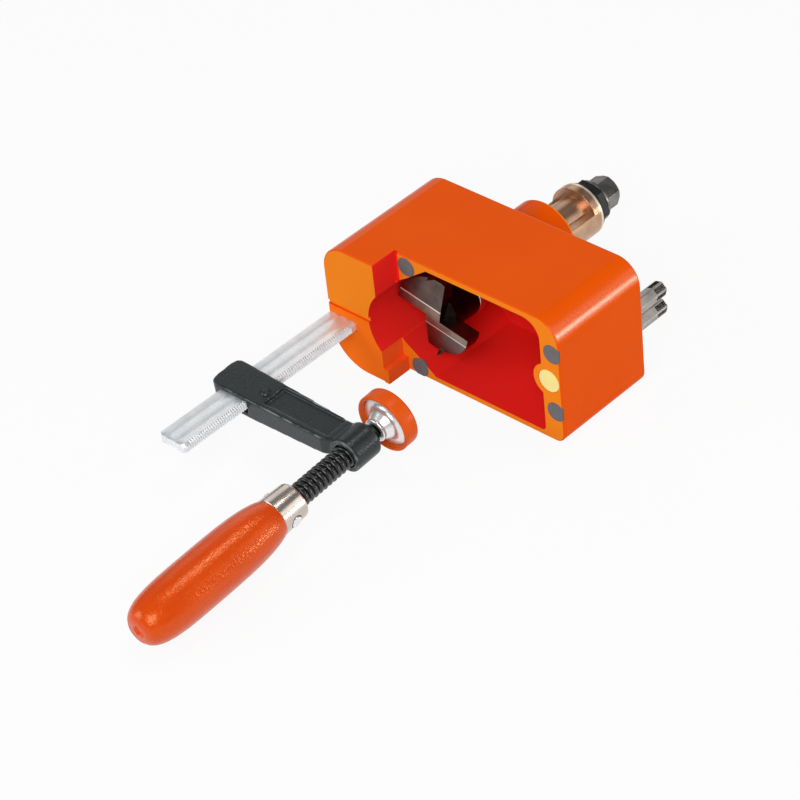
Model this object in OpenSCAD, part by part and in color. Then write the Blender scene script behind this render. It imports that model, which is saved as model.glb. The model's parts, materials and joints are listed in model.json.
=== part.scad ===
// Drilling jig with a guided boring spindle and a bar clamp.
// The origin is the point where the drill axis meets the rim plane that rests on the work.
// X runs along the housing, Y along the drill axis (work at -Y, drive end at +Y), Z is up.

/* [Housing] */
// Drill axis to the left side of the housing
left_reach = 45.5; // [43:0.5:52]
// Drill axis to the right side of the housing
right_reach = 75; // [74:0.5:88]
// Height of the housing, half of it above the drill axis
body_h = 62; // [61:0.5:70]
// Rim plane to the back face
body_d = 54; // [50:0.5:62]
// Stop block in front of the rim plane
block_d = 13; // [10:0.5:16]
// Drill axis to the stop face of the block
stop_x = 15.5; // [14:0.25:18]
// Top left corner radius
corner_tl = 12.5; // [8:0.5:16]
// Top right corner radius
corner_tr = 12; // [8:0.5:16]
// Bottom left corner radius
corner_bl = 20; // [14:0.5:22]
// Bottom right corner radius
corner_br = 5; // [4:0.5:10]
// Rounding of the front edges
front_round = 0.8; // [0.5:0.1:1.5]
// Rounding of the back edges
back_round = 1.6; // [1:0.1:2.5]
// Stop lip at the foot of the stop face, proud of it
lip_proud = 2.6; // [1:0.1:3.5]
// Height of the stop lip
lip_h = 7; // [4:0.5:9]
// Depth of the centre-line groove across the block
line_groove_d = 1.1; // [0.6:0.1:2]
// Height of the centre-line groove
line_groove_h = 2.3; // [1.5:0.1:3.5]

/* [Cavity] */
// Wall above and below the cavity
wall_t = 2.9; // [2.2:0.1:4.5]
// Wall behind the cavity
back_wall = 4.5; // [3:0.25:7]
// Solid right end beside the cavity
right_end = 10; // [9.5:0.25:14]
// Clearance circle round the boring bit
swarf_r = 21.3; // [20.8:0.1:23]
// Slope of the two left lands
land_slope = 36; // [30:1:42]
// Cavity corner radius, top right
cavity_corner = 9; // [5:0.5:12]
// Cavity corner radius, bottom right
cavity_small_corner = 2.5; // [1.5:0.25:4]

/* [Pads] */
// Rubber pad radius
pad_r = 4.6; // [3.5:0.1:5.5]
// Rubber pad thickness
pad_t = 1.2; // [1:0.1:2.5]
// Pad proud of the rim
pad_proud = 0.3; // [0.1:0.1:0.6]
// Right side of the housing to the middle of the right pads
pad_right_inset = 3.6; // [3:0.1:6]
// Right pads, height above and below the drill axis
pad_right_z = 15; // [13:0.5:18]
// Upper left pad centre along X
pad_ul_x = -8.4; // [-9:0.2:-6]
// Upper left pad centre below the top face
pad_ul_drop = 5.4; // [5:0.1:6]
// Lower left pad centre along X
pad_ll_x = -6.2; // [-8:0.2:-4]
// Lower left pad centre above the bottom face
pad_ll_rise = 4.3; // [4:0.1:5.5]
// Yellow sighting disc radius
disc_r = 5.5; // [4:0.25:6.5]
// Sighting disc thickness
disc_t = 2; // [1:0.1:3]
// Right side of the housing to the middle of the sighting disc
disc_inset = 6.4; // [5.5:0.1:7.5]
// Wall round the sighting disc
disc_wall = 2.8; // [1.5:0.1:4]

/* [Guide boss and sleeve] */
// Boss radius
boss_r = 17.4; // [16:0.2:19]
// Boss length behind the back face
boss_len = 26; // [20:0.5:32]
// Sleeve outer radius
sleeve_r = 12.8; // [12:0.1:14]
// Sleeve in the cavity, in front of the back face
sleeve_in = 8; // [6:0.5:12]
// Boss end to the collar of the sleeve
sleeve_show = 18.2; // [14:0.2:24]
// Collar width
collar_w = 5.6; // [3:0.2:7]
// Depth of the stop recess in the sleeve
recess_d = 4; // [3:0.1:4.5]
// Flat wall of the stop recess above the spindle axis
recess_wall = 4.2; // [3:0.1:6]
// Where the stop recess ends
recess_to = 172; // [165:1:176]
// Guide screw from the boss end
guide_back = 4.5; // [4:0.25:8]
// Guide screw radius
guide_r = 2.5; // [2:0.1:3]
// Guide screw dog point radius
dog_r = 1.7; // [1.2:0.1:1.9]
// Guide screw direction, from +X towards +Z
guide_dir = 150; // [140:1:155]

/* [Boring spindle] */
// Boring radius
bit_r = 20; // [18:0.25:20.4]
// Bit face behind the rim plane
bit_set = 4; // [2:0.25:8]
// Wing thickness at the cutting edge
wing_t = 8; // [7.2:0.2:10]
// Direction of the back edge of each wing behind its cutting edge
wing_arc = 88; // [80:1:95]
// Each wing past the spindle axis
wing_past = 4; // [3:0.2:5]
// Radial relief at the back edge of each wing
rim_relief = 1.2; // [0.4:0.1:1.6]
// Direction of the spur behind the cutting edge
spur_at = 76; // [70:1:78]
// Arc of the spur
spur_arc = 9; // [6:1:10]
// Turn of the cutting edge above the X direction
edge_turn = 169; // [150:1:180]
// Width of the primary land behind the cutting edge
land_w = 2.9; // [2:0.2:6]
// Primary relief angle
relief_a = 6; // [4:0.5:8]
// Secondary relief angle
relief_b = 9; // [8:0.5:16]
// Hub radius behind the wings
hub_r = 9.4; // [8:0.2:11]
// Bit face to the back of the hub
hub_back = 20.2; // [18:0.2:28]
// Steel ring behind the hub, width
ring_w = 3; // [1:0.2:4]
// Steel ring proud of the hub
ring_proud = 0.4; // [0.2:0.1:1]
// Spindle radius
spindle_r = 6.5; // [5.5:0.25:7]
// Front retaining ring radius
keeper_r = 9; // [8:0.25:11]
// Front retaining ring width
keeper_w = 1.6; // [1:0.1:3]
// Rear washer radius
washer_r = 11.8; // [10:0.2:12]
// Rear washer width
washer_w = 1.4; // [1:0.1:2.5]
// Lock nut width across flats
nut_af = 19.5; // [19:0.5:21.5]
// Lock nut width along the spindle
nut_w = 4.7; // [4:0.1:8]
// Drive hex width across flats
hex_af = 14; // [12:0.5:14.5]
// Drive hex length
hex_len = 9; // [6:0.5:14]
// Drive collar radius
drive_collar_r = 10; // [9:0.1:10.4]
// Drive collar width
drive_collar_w = 2.6; // [1.5:0.1:4]

/* [Driver bits] */
// Driver bit radius over its corners
rod_r = 3.75; // [3:0.05:4]
// Driver bit length
rod_len = 54; // [50:0.5:65]
// Driver bit behind the back face
rod_out = 19; // [14:0.5:24]
// Right side of the housing to the driver bits
rod_inset = 5.6; // [5:0.1:7]
// Driver bits above and below the drill axis
rod_z = 4.5; // [4.3:0.1:6]
// Length of the six-lobe end
lobe_len = 6.5; // [6:0.5:14]
// Radius of the flutes in the six-lobe end
flute_r = 1.15; // [0.8:0.05:1.3]

/* [Clamp bar] */
// Bar width
bar_w = 15; // [12:0.5:17]
// Bar thickness
bar_t = 5; // [4:0.25:7]
// Bar in front of the stop block
bar_out = 103.5; // [98:0.5:130]
// Bar inside the housing
bar_in = 33; // [30:0.5:40]
// Bar inset from the left side
bar_inset = 1; // [0.8:0.1:3]
// Drill axis down to the middle of the bar
bar_drop = 7.6; // [6.5:0.1:9]
// Pitch of the bar teeth
tooth_p = 1.25; // [1:0.05:2]
// Depth of the bar teeth
tooth_d = 0.7; // [0.4:0.05:1]
// Width of the two grooves along each face of the bar
bar_groove_w = 2.6; // [1.5:0.1:3.5]
// Depth of the grooves in the bar
bar_groove_d = 0.5; // [0.2:0.05:0.8]
// Radius of the pins that hold the bar
bar_pin_r = 2; // [1.5:0.1:2.5]

/* [Sliding arm] */
// Rim plane to the middle of the arm
arm_y = 72; // [68:0.5:80]
// Arm width along the bar
arm_w = 17.5; // [15:0.5:20]
// Arm thickness
arm_t = 11; // [10:0.25:13]
// Arm past the outer edge of the bar
arm_past = 6; // [4:0.5:9]
// Bar edge to the clamp screw axis
throat = 55.5; // [45:0.5:60]
// Droop of the arm on the bar
arm_droop = 4.5; // [3:0.1:5]
// Screw boss radius
boss_arm_r = 8; // [7.5:0.1:10]
// Screw boss in front of the arm's middle
boss_arm_front = 7.8; // [7:0.2:10]
// Screw boss behind the arm's middle
boss_arm_back = 6.6; // [6:0.2:9]
// Rise of the underside towards the screw boss
arm_rise = 2.6; // [1:0.1:3]
// Depth of the panels in the arm
panel_d = 1.6; // [0.8:0.1:2]
// Rib beside the panels
rib_t = 3; // [2:0.25:4]
// Arm rivet radius
rivet_r = 2.6; // [2:0.1:3]
// Arm rivet head height
rivet_h = 1.2; // [0.6:0.1:2]

/* [Clamp screw] */
// Thread radius
screw_r = 5.25; // [4.75:0.05:5.5]
// Thread pitch
pitch = 2.75; // [2.5:0.25:4]
// Thread depth
thread_d = 1.15; // [0.8:0.05:1.3]
// Boss front to the ferrule
screw_show = 29.6; // [26:0.2:36]
// Ball radius
ball_r = 4; // [3.6:0.1:4.4]
// Boss back to the ball centre
ball_set = 8.4; // [7:0.2:10]
// Ferrule length
ferrule_len = 13.6; // [11:0.2:18]
// Ferrule radius at the handle
ferrule_r = 8.8; // [8.4:0.1:9.6]
// Ferrule radius at the thread
ferrule_front_r = 8.2; // [7.8:0.1:8.8]
// Ferrule pin radius
cross_pin_r = 2.6; // [1.8:0.1:2.9]
// Ferrule pin proud of the ferrule
cross_pin_proud = 1.3; // [0.8:0.1:1.8]
// Handle length
handle_len = 75.8; // [70:0.2:100]
// Handle largest radius
handle_r = 12; // [11:0.25:15]
// Handle widest place from its free end
handle_belly = 33; // [28:0.5:40]
// Roundness of the handle
handle_power = 3.5; // [2.6:0.1:4]

/* [Pressure plate] */
// Cap radius
cap_r = 13.6; // [13:0.1:16]
// Cap depth
cap_d = 7.8; // [7:0.1:10]
// Cap floor
cap_floor = 3.7; // [3:0.1:4.6]
// Cap wall
cap_wall = 1.8; // [1.6:0.1:3]
// Dish thickness
dish_t = 1.8; // [1.2:0.1:2.4]
// Neck radius at the screw
neck_r = 5.4; // [5.2:0.1:6.5]
// Neck radius at the dish
neck_foot_r = 7.4; // [6.6:0.1:9]

/* [Fits] */
// Radial running fit of round moving pieces
run_fit = 0.06; // [0.03:0.01:0.1]
// Gap all round a fixed insert
set_fit = 0.05; // [0.02:0.01:0.1]
// Axial gap beside a turning ring
end_gap = 0.08; // [0.05:0.01:0.1]
// Gap round the thread in the arm
thread_gap = 0.3; // [0.2:0.05:0.4]
// Gap of the arm on the bar
arm_fit = 0.08; // [0.05:0.01:0.1]

/* [Hidden] */
$fn = 96;
big = 400;
nudge = 0.02;
over = 1;
small_edge = 0.4;
edge = 0.6;
bold_edge = 1.2;
web_set = 1.6;
web_tip_r = 1.2;
web_r = 8.6;
hub_cone = 4.6;
spur_foot = 3.2;
spur_tip = 0.3;
bar_edge = 0.6;
tooth_start = 3;
arm_corner = 4;
arm_nose = 2;
ferrule_cap = 1.5;
pin_dome = 1;
bar_groove_x = 3;
land_start = 0.6;
disc_proud = 0.1;
pad_inset = 0.1;
socket_wall = 1.1;
socket_d = 2;
spur_base = 2;
top_z = body_h / 2;
rim_strip = 4;
pad_right_x = right_reach - pad_right_inset;
disc_x = right_reach - disc_inset;
rod_x = right_reach - rod_inset;
rim_core = 3;
boss_end = body_d + boss_len;
collar_y = boss_end + sleeve_show;
sleeve_back = collar_y + collar_w;
sleeve_front = body_d - sleeve_in;
recess_r = sleeve_r - recess_d;
dog_gap = 0.4;
guide_y = boss_end - guide_back;
cavity_end = body_d - back_wall;
cavity_right = right_reach - right_end;
cavity_top = top_z - wall_t;
land_z = 14.8;
land_run = (cavity_top - land_z) / tan(land_slope);
relief_w = 2.4;
relief_d = 1.2;
bit_back = bit_set + hub_back;
ring_back = bit_back + ring_w;
washer_y = sleeve_back + end_gap;
nut_y = washer_y + washer_w;
nut_end = nut_y + nut_w;
hex_y = nut_end + drive_collar_w;
hex_end = hex_y + hex_len;
hex_chamfer = 1;
hex_chamfer_r = 1.45;
hex_turn = 20;
nut_turn = 50;
spindle_set = 16;
spindle_front = bit_set + spindle_set;
rod_front = body_d + rod_out - rod_len;
rod_end_gap = 0.2;
lobes = 6;
flute_out = -0.15;
rod_turn = -15;
rod_corner = 0.1;
bar_x0 = -left_reach + bar_inset;
bar_x1 = bar_x0 + bar_w;
bar_mid = (bar_x0 + bar_x1) / 2;
bar_top = bar_t / 2 - bar_drop;
bar_y0 = -block_d - bar_out;
bar_y1 = -block_d + bar_in;
bar_pin_deep = 6.5;
bar_pin_rise = 3;
bar_pin_first = 7;
bar_pin_step = 12;
bar_pin_bottom = -top_z + bar_pin_deep;
bar_pin_top = bar_top + bar_pin_rise;
bar_pin_ys = [bar_y1 - bar_pin_first, bar_y1 - bar_pin_first - bar_pin_step];
screw_x = bar_x1 + throat;
slot_h = bar_t / cos(arm_droop) + arm_w * tan(arm_droop) + 2 * arm_fit;
rivet_set = 5;
rivet_x = bar_x1 + rivet_set;
rivet_y = -1;
rivet_neck = 0.6;
boss_front = -boss_arm_front;
boss_back = boss_arm_back;
ball_y = boss_back + ball_set;
tilt_gap = 1.4;
ridge_sink = 0.3;
ridge_root = 0.36;
ridge_tip = 0.14;
ridge_steps = 18;
handle_nose = 0.8;
handle_shoulder = 5;
handle_rings = 28;
dimple_r = 2.8;
dimple_d = 2;
neck_lip = 0.2;
neck_front = ball_y - ball_r - neck_lip;
thread_end = neck_front - tilt_gap;
ferrule_y = boss_front - screw_show;
handle_y = ferrule_y - ferrule_len;
handle_end = handle_y - handle_len;
ferrule_wall = 1.2;
tenon_r = ferrule_front_r - ferrule_wall;
shank_r = screw_r - thread_d;
ball_neck_r = 2.5;
shank_deep = 34;
shank_end = handle_y - shank_deep;
cross_pin_set = 5.8;
cross_pin_y = handle_y + cross_pin_set;
cross_pin_dir = -14;
seat_floor = 0.5;
plate_back = ball_y + ball_r + seat_floor;
cap_back = plate_back + cap_floor;
cap_front = cap_back - cap_d;
neck_mouth_r = 3.5;
dish_r = cap_r - cap_wall - set_fit;

// A cylinder along Y
module ycyl(r, y0, y1) {
    rotate([-90, 0, 0])
        translate([0, 0, y0])
            cylinder(r = r, h = y1 - y0);
}

// A hexagonal bar along Y, from its width across flats
module yhex(af, y0, y1) {
    rotate([-90, 0, 0])
        translate([0, 0, y0])
            cylinder(r = af / 2 / cos(30), h = y1 - y0, $fn = 6);
}

// Radius that just clears the corners of a hexagon
function hex_corner(af) = af / 2 / cos(30) + nudge;

// A prism along Y over an outline drawn in X and Z
module yprism(y0, y1) {
    translate([0, y1, 0])
        rotate([90, 0, 0])
            linear_extrude(y1 - y0)
                children();
}

// A turned piece on the Y axis over a half section drawn as radius and Y
module yturn() {
    rotate([-90, 0, 0])
        rotate_extrude()
            children();
}

// Half section with both outer edges rounded
module lip(r, y0, y1) {
    translate([0, y0 + front_round])
        square([r, y1 - y0 - front_round - back_round]);
    translate([0, y0])
        square([r - front_round, y1 - y0 - back_round]);
    translate([0, y0 + front_round])
        square([r - back_round, y1 - y0 - front_round]);
    translate([r - front_round, y0 + front_round])
        circle(front_round);
    translate([r - back_round, y1 - back_round])
        circle(back_round);
}

module corner(x, z, r, y0) {
    translate([x, 0, z])
        yturn()
            lip(r, y0, body_d);
}

module top_strip(x0, x1, y0) {
    translate([x1, 0, top_z - rim_strip])
        rotate([0, -90, 0])
            linear_extrude(x1 - x0)
                lip(rim_strip, y0, body_d);
}

module side_strip(z0, z1, y0) {
    translate([0, 0, z0])
        linear_extrude(z1 - z0)
            lip(rim_strip, y0, body_d);
}

module left_half() {
    y0 = -block_d;
    intersection() {
        union() {
            corner(-left_reach + corner_tl, top_z - corner_tl, corner_tl, y0);
            corner(-left_reach + corner_bl, -top_z + corner_bl, corner_bl, y0);
        }
        translate([-big - stop_x - nudge, -big / 2, -big / 2])
            cube(big);
    }
    top_strip(-left_reach + corner_tl, -stop_x, y0);
    mirror([0, 0, 1])
        top_strip(-left_reach + corner_bl, -stop_x, y0);
    translate([-left_reach + rim_strip, 0, 0])
        mirror([1, 0, 0])
            side_strip(-top_z + corner_bl, top_z - corner_tl, y0);
    yprism(y0, body_d)
        polygon([
            [-left_reach + corner_tl, top_z - rim_core],
            [-stop_x, top_z - rim_core],
            [-stop_x, -top_z + rim_core],
            [-left_reach + corner_bl, -top_z + rim_core],
            [-left_reach + rim_core, -top_z + corner_bl],
            [-left_reach + rim_core, top_z - corner_tl]
        ]);
}

module right_half() {
    x0 = -stop_x - rim_strip;
    corner(right_reach - corner_tr, top_z - corner_tr, corner_tr, 0);
    corner(right_reach - corner_br, -top_z + corner_br, corner_br, 0);
    top_strip(x0, right_reach - corner_tr, 0);
    mirror([0, 0, 1])
        top_strip(x0, right_reach - corner_br, 0);
    translate([right_reach - rim_strip, 0, 0])
        side_strip(-top_z + corner_br, top_z - corner_tr, 0);
    yprism(0, body_d)
        polygon([
            [x0, top_z - rim_core],
            [right_reach - corner_tr, top_z - rim_core],
            [right_reach - rim_core, top_z - corner_tr],
            [right_reach - rim_core, -top_z + corner_br],
            [right_reach - corner_br, -top_z + rim_core],
            [x0, -top_z + rim_core]
        ]);
}

module cavity_outline() {
    difference() {
        union() {
            polygon([
                [-stop_x, land_z],
                [-stop_x + land_run, cavity_top],
                [cavity_right - cavity_corner, cavity_top],
                [cavity_right, cavity_top - cavity_corner],
                [cavity_right, -cavity_top + cavity_small_corner],
                [cavity_right - cavity_small_corner, -cavity_top],
                [-stop_x + land_run, -cavity_top],
                [-stop_x, -land_z]
            ]);
            translate([cavity_right - cavity_corner, cavity_top - cavity_corner])
                circle(cavity_corner);
            translate([cavity_right - cavity_small_corner, -cavity_top + cavity_small_corner])
                circle(cavity_small_corner);
        }
        translate([disc_x, 0])
            circle(disc_r + disc_wall);
    }
}

module at_pad(i) {
    xs = [pad_ul_x, pad_ll_x, pad_right_x, pad_right_x];
    zs = [top_z - pad_ul_drop, -top_z + pad_ll_rise, pad_right_z, -pad_right_z];
    translate([xs[i], 0, zs[i]])
        children();
}

module guide_axis() {
    translate([0, guide_y, 0])
        rotate([0, -guide_dir, 0])
            rotate([0, 90, 0])
                children();
}

module housing() {
    color("#E2601A")
    difference() {
        union() {
            left_half();
            right_half();
            translate([-stop_x - nudge, -block_d, -top_z])
                cube([lip_proud + nudge, block_d + nudge, lip_h]);
            yturn()
                polygon([
                    [0, cavity_end + over],
                    [boss_r, cavity_end + over],
                    [boss_r, boss_end - bold_edge],
                    [boss_r - bold_edge, boss_end],
                    [0, boss_end]
                ]);
        }
        yprism(-nudge, cavity_end)
            cavity_outline();
        ycyl(swarf_r, -block_d - over, cavity_end);
        translate([-left_reach - over, -block_d - over, -line_groove_h / 2])
            cube([left_reach, over + line_groove_d, line_groove_h]);
        translate([-stop_x, -nudge, land_z + land_start])
            cube([relief_w, relief_d + nudge, body_h]);
        for (i = [0 : 3])
            at_pad(i)
                ycyl(pad_r + set_fit, -over, pad_t - pad_proud);
        translate([disc_x, 0, 0])
            ycyl(disc_r + set_fit, -over, disc_t);
        ycyl(sleeve_r + run_fit, cavity_end - over, boss_end + over);
        guide_axis()
            cylinder(r = guide_r + set_fit, h = 2 * boss_r);
        for (s = [-1, 1])
            translate([rod_x, 0, s * rod_z])
                ycyl(rod_r + run_fit, rod_front - rod_end_gap, body_d + over);
        translate([bar_x0 - set_fit, -block_d - over, bar_top - bar_t - set_fit])
            cube([bar_w + 2 * set_fit, bar_in + over + set_fit, bar_t + 2 * set_fit]);
        for (y = bar_pin_ys)
            translate([bar_mid, y, -big])
                cylinder(r = bar_pin_r + set_fit, h = big + bar_pin_top + set_fit);
    }
}

module pad(i) {
    color("#66686C")
    intersection() {
        at_pad(i)
            ycyl(pad_r, -pad_proud, pad_t - pad_proud);
        translate([-big / 2, -big / 2, -top_z + pad_inset])
            cube([big / 2 + right_reach - pad_inset, big, body_h - 2 * pad_inset]);
    }
}

module pad_upper_left() {
    pad(0);
}

module pad_lower_left() {
    pad(1);
}

module pad_upper_right() {
    pad(2);
}

module pad_lower_right() {
    pad(3);
}

module sighting_disc() {
    color("#FFEFA8")
    translate([disc_x, 0, 0])
        ycyl(disc_r, -disc_proud, disc_t);
}

module guide_sleeve() {
    y0 = guide_y - dog_r - dog_gap;
    wide = 2 * sleeve_r;
    color("#B08050")
    difference() {
        yturn()
            polygon([
                [spindle_r + run_fit, sleeve_front],
                [sleeve_r - edge, sleeve_front],
                [sleeve_r, sleeve_front + edge],
                [sleeve_r, sleeve_back - edge],
                [sleeve_r - edge, sleeve_back],
                [spindle_r + run_fit, sleeve_back]
            ]);
        yprism(y0, collar_y)
            difference() {
                polygon([
                    [0, recess_wall],
                    [wide, recess_wall],
                    [wide, wide],
                    [-wide, wide],
                    [-wide, wide * tan(180 - recess_to)],
                    [0, 0]
                ]);
                circle(recess_r);
            }
    }
}

module guide_screw() {
    screw_top = boss_r - bold_edge;
    color("#2E3030")
    guide_axis()
        difference() {
            union() {
                translate([0, 0, recess_r + dog_gap])
                    cylinder(r = dog_r, h = sleeve_r - recess_r);
                translate([0, 0, sleeve_r + dog_gap - nudge])
                    cylinder(r = guide_r, h = screw_top - sleeve_r - dog_gap);
            }
            translate([0, 0, screw_top - socket_d])
                cylinder(r = guide_r - socket_wall, h = big, $fn = 6);
        }
}

// One wing, its cutting edge along +X and its body below it
module bit_wing() {
    intersection() {
        yprism(bit_set, bit_set + wing_t)
            intersection() {
                translate([0, rim_relief])
                    circle(bit_r);
                circle(bit_r);
                polygon([
                    [-wing_past, 0],
                    [big, 0],
                    [big, -big],
                    [big * cos(wing_arc), -big * sin(wing_arc)]
                ]);
            }
        translate([0, bit_set, 0])
            rotate([relief_a, 0, 0])
                translate([-big / 2, 0, -big / 2])
                    cube(big);
        translate([0, bit_set + land_w * tan(relief_a), -land_w])
            rotate([relief_b, 0, 0])
                translate([-big / 2, 0, -big / 2])
                    cube(big);
    }
    rotate([0, spur_at + spur_arc / 2, 0])
        rotate([-90, 0, 0])
            rotate([0, 0, -spur_arc])
                rotate_extrude(angle = spur_arc)
                    polygon([
                        [bit_r - spur_foot, bit_set + wing_t - spur_base],
                        [bit_r - spur_tip, bit_set + spur_tip],
                        [bit_r, bit_set + spur_tip],
                        [bit_r, bit_set + wing_t],
                        [bit_r - spur_foot, bit_set + wing_t]
                    ]);
}

module boring_bit() {
    color("#8C8884")
    union() {
        for (a = [0, 180])
            rotate([0, -edge_turn - a, 0])
                bit_wing();
        difference() {
            yturn()
                polygon([
                    [0, bit_set + web_set],
                    [web_tip_r, bit_set + web_set],
                    [web_r, bit_set + web_set + web_r / 2],
                    [web_r, bit_set + wing_t],
                    [hub_r, bit_set + wing_t + hub_cone],
                    [hub_r, bit_back],
                    [0, bit_back]
                ]);
            ycyl(spindle_r, spindle_front, bit_back + over);
        }
    }
}

module hub_ring() {
    color("#C8C6C2")
    yturn()
        polygon([
            [spindle_r, bit_back],
            [hub_r + ring_proud - small_edge, bit_back],
            [hub_r + ring_proud, bit_back + small_edge],
            [hub_r + ring_proud, ring_back - small_edge],
            [hub_r + ring_proud - small_edge, ring_back],
            [spindle_r, ring_back]
        ]);
}

module spindle() {
    color("#8A8A8A")
    ycyl(spindle_r, spindle_front, nut_end);
}

module keeper_ring() {
    color("#3A3C3C")
    difference() {
        ycyl(keeper_r, sleeve_front - end_gap - keeper_w, sleeve_front - end_gap);
        ycyl(spindle_r, 0, boss_end);
    }
}

module rear_washer() {
    color("#2E3030")
    difference() {
        ycyl(washer_r, washer_y, nut_y);
        ycyl(spindle_r, boss_end, hex_end);
    }
}

module lock_nut() {
    color("#2A2E2E")
    difference() {
        intersection() {
            rotate([0, -nut_turn, 0])
                yhex(nut_af, nut_y, nut_end);
            yturn()
                polygon([
                    [0, nut_y],
                    [nut_af / 2 + edge, nut_y],
                    [hex_corner(nut_af), nut_y + edge],
                    [hex_corner(nut_af), nut_end - edge],
                    [nut_af / 2 + edge, nut_end],
                    [0, nut_end]
                ]);
        }
        ycyl(spindle_r, boss_end, hex_end);
    }
}

module drive_hex() {
    color("#2A2E2E")
    union() {
        yturn()
            polygon([
                [0, nut_end],
                [drive_collar_r, nut_end],
                [drive_collar_r, hex_y - bold_edge],
                [drive_collar_r - bold_edge, hex_y],
                [0, hex_y]
            ]);
        rotate([0, -hex_turn, 0])
            intersection() {
                yhex(hex_af, hex_y - nudge, hex_end);
                yturn()
                    polygon([
                        [0, hex_y - nudge],
                        [hex_corner(hex_af), hex_y - nudge],
                        [hex_corner(hex_af), hex_end - hex_chamfer],
                        [hex_corner(hex_af) - hex_chamfer_r, hex_end],
                        [0, hex_end]
                    ]);
            }
    }
}

module driver_bit(z) {
    color("#9A9590")
    translate([rod_x, rod_front, z])
        rotate([0, rod_turn, 0])
        difference() {
            intersection() {
                yturn()
                    polygon([
                        [0, 0],
                        [rod_r - edge, 0],
                        [rod_r, edge],
                        [rod_r, rod_len - edge],
                        [rod_r - edge, rod_len],
                        [0, rod_len]
                    ]);
                yhex((rod_r + rod_corner) * 2 * cos(30), -over, rod_len + over);
            }
            for (i = [0 : lobes - 1])
                rotate([0, (i + 1 / 2) * 360 / lobes, 0])
                    translate([rod_r + flute_out, 0, 0])
                        ycyl(flute_r, rod_len - lobe_len, rod_len + over);
        }
}

module driver_bit_upper() {
    driver_bit(rod_z);
}

module driver_bit_lower() {
    driver_bit(-rod_z);
}

module clamp_bar() {
    teeth = floor((bar_out - 2 * tooth_start) / tooth_p);
    first = bar_y0 + tooth_start;
    color("#C9CCCE")
    difference() {
        translate([0, 0, bar_top - bar_t])
            linear_extrude(bar_t)
                polygon(concat(
                    [[bar_x0, bar_y1], [bar_x0, bar_y0 + bar_edge], [bar_x0 + bar_edge, bar_y0],
                     [bar_x1 - bar_edge, bar_y0], [bar_x1, bar_y0 + bar_edge]],
                    [for (i = [0 : teeth - 1], j = [0, 1])
                        [bar_x1 - j * tooth_d, first + (i + j / 2) * tooth_p]],
                    [[bar_x1, first + teeth * tooth_p], [bar_x1, bar_y1]]
                ));
        for (s = [-1, 1], u = [-1, 1])
            translate([bar_mid + s * bar_groove_x, bar_y0 - over, bar_top - bar_t / 2])
                translate([-bar_groove_w / 2, 0, u * bar_t / 2 - bar_groove_d])
                    cube([bar_groove_w, bar_out - over, 2 * bar_groove_d]);
        for (y = bar_pin_ys)
            translate([bar_mid, y, -big])
                cylinder(r = bar_pin_r, h = 2 * big);
    }
}

module bar_pins() {
    color("#A8A8A6")
    for (y = bar_pin_ys)
        translate([bar_mid, y, bar_pin_bottom])
            cylinder(r = bar_pin_r, h = bar_pin_top - bar_pin_bottom);
}

// The frame of the arm: its middle on the bar, drooping by the play on the bar
module arm_frame() {
    translate([0, -arm_y, -bar_drop])
        rotate([arm_droop, 0, 0])
            children();
}

// The clamp screw axis in that frame
module screw_frame() {
    arm_frame()
        translate([screw_x, 0, 0])
            children();
}

module arm_plan() {
    x0 = bar_x0 - arm_past;
    polygon([
        [x0, -arm_w / 2 + arm_corner],
        [x0 + arm_corner, -arm_w / 2],
        [screw_x - boss_arm_r - arm_corner, -arm_w / 2],
        [screw_x - arm_nose, boss_front + arm_nose],
        [screw_x - arm_nose, boss_back - arm_nose / 2],
        [x0 + arm_corner, arm_w / 2],
        [x0, arm_w / 2 - arm_corner]
    ]);
    for (s = [-1, 1])
        translate([x0 + arm_corner, s * (arm_w / 2 - arm_corner)])
            circle(arm_corner);
}

// Side view of the arm in X and Z, its underside rising towards the boss
module arm_side() {
    polygon([
        [bar_x0 - 2 * arm_past, -arm_t / 2],
        [bar_x1 + arm_corner, -arm_t / 2],
        [screw_x, -arm_t / 2 + arm_rise],
        [screw_x, arm_t / 2],
        [bar_x0 - 2 * arm_past, arm_t / 2]
    ]);
}

module sliding_arm() {
    panel_x0 = rivet_x + rivet_r + rib_t / 2;
    panel_x1 = screw_x - boss_arm_r - arm_nose;
    color("#2A2E2E")
    arm_frame()
        difference() {
            union() {
                intersection() {
                    translate([0, 0, -arm_t])
                        linear_extrude(2 * arm_t)
                            arm_plan();
                    yprism(-arm_w, arm_w)
                        arm_side();
                }
                translate([screw_x, 0, 0])
                    yturn()
                        polygon([
                            [0, boss_front],
                            [boss_arm_r - edge, boss_front],
                            [boss_arm_r, boss_front + edge],
                            [boss_arm_r, boss_back - edge],
                            [boss_arm_r - edge, boss_back],
                            [0, boss_back]
                        ]);
            }
            translate([bar_x0 - arm_fit, -arm_w, -slot_h / 2])
                cube([bar_w + 2 * arm_fit, 2 * arm_w, slot_h]);
            translate([screw_x, 0, 0])
                ycyl(screw_r + thread_gap, -arm_w, arm_w);
            translate([panel_x0, -arm_w / 2 + rib_t, arm_t / 2 - panel_d])
                cube([panel_x1 - panel_x0, arm_w - 2 * rib_t, 2 * panel_d]);
            translate([rivet_x, rivet_y, 0])
                cylinder(r = rivet_r * rivet_neck, h = arm_t);
        }
}

module arm_rivet() {
    color("#3A3E3E")
    arm_frame()
        translate([rivet_x, rivet_y, 0])
            union() {
                cylinder(r = rivet_r * rivet_neck, h = arm_t / 2);
                translate([0, 0, arm_t / 2])
                    cylinder(r1 = rivet_r, r2 = rivet_r * rivet_neck, h = rivet_h);
            }
}

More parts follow.
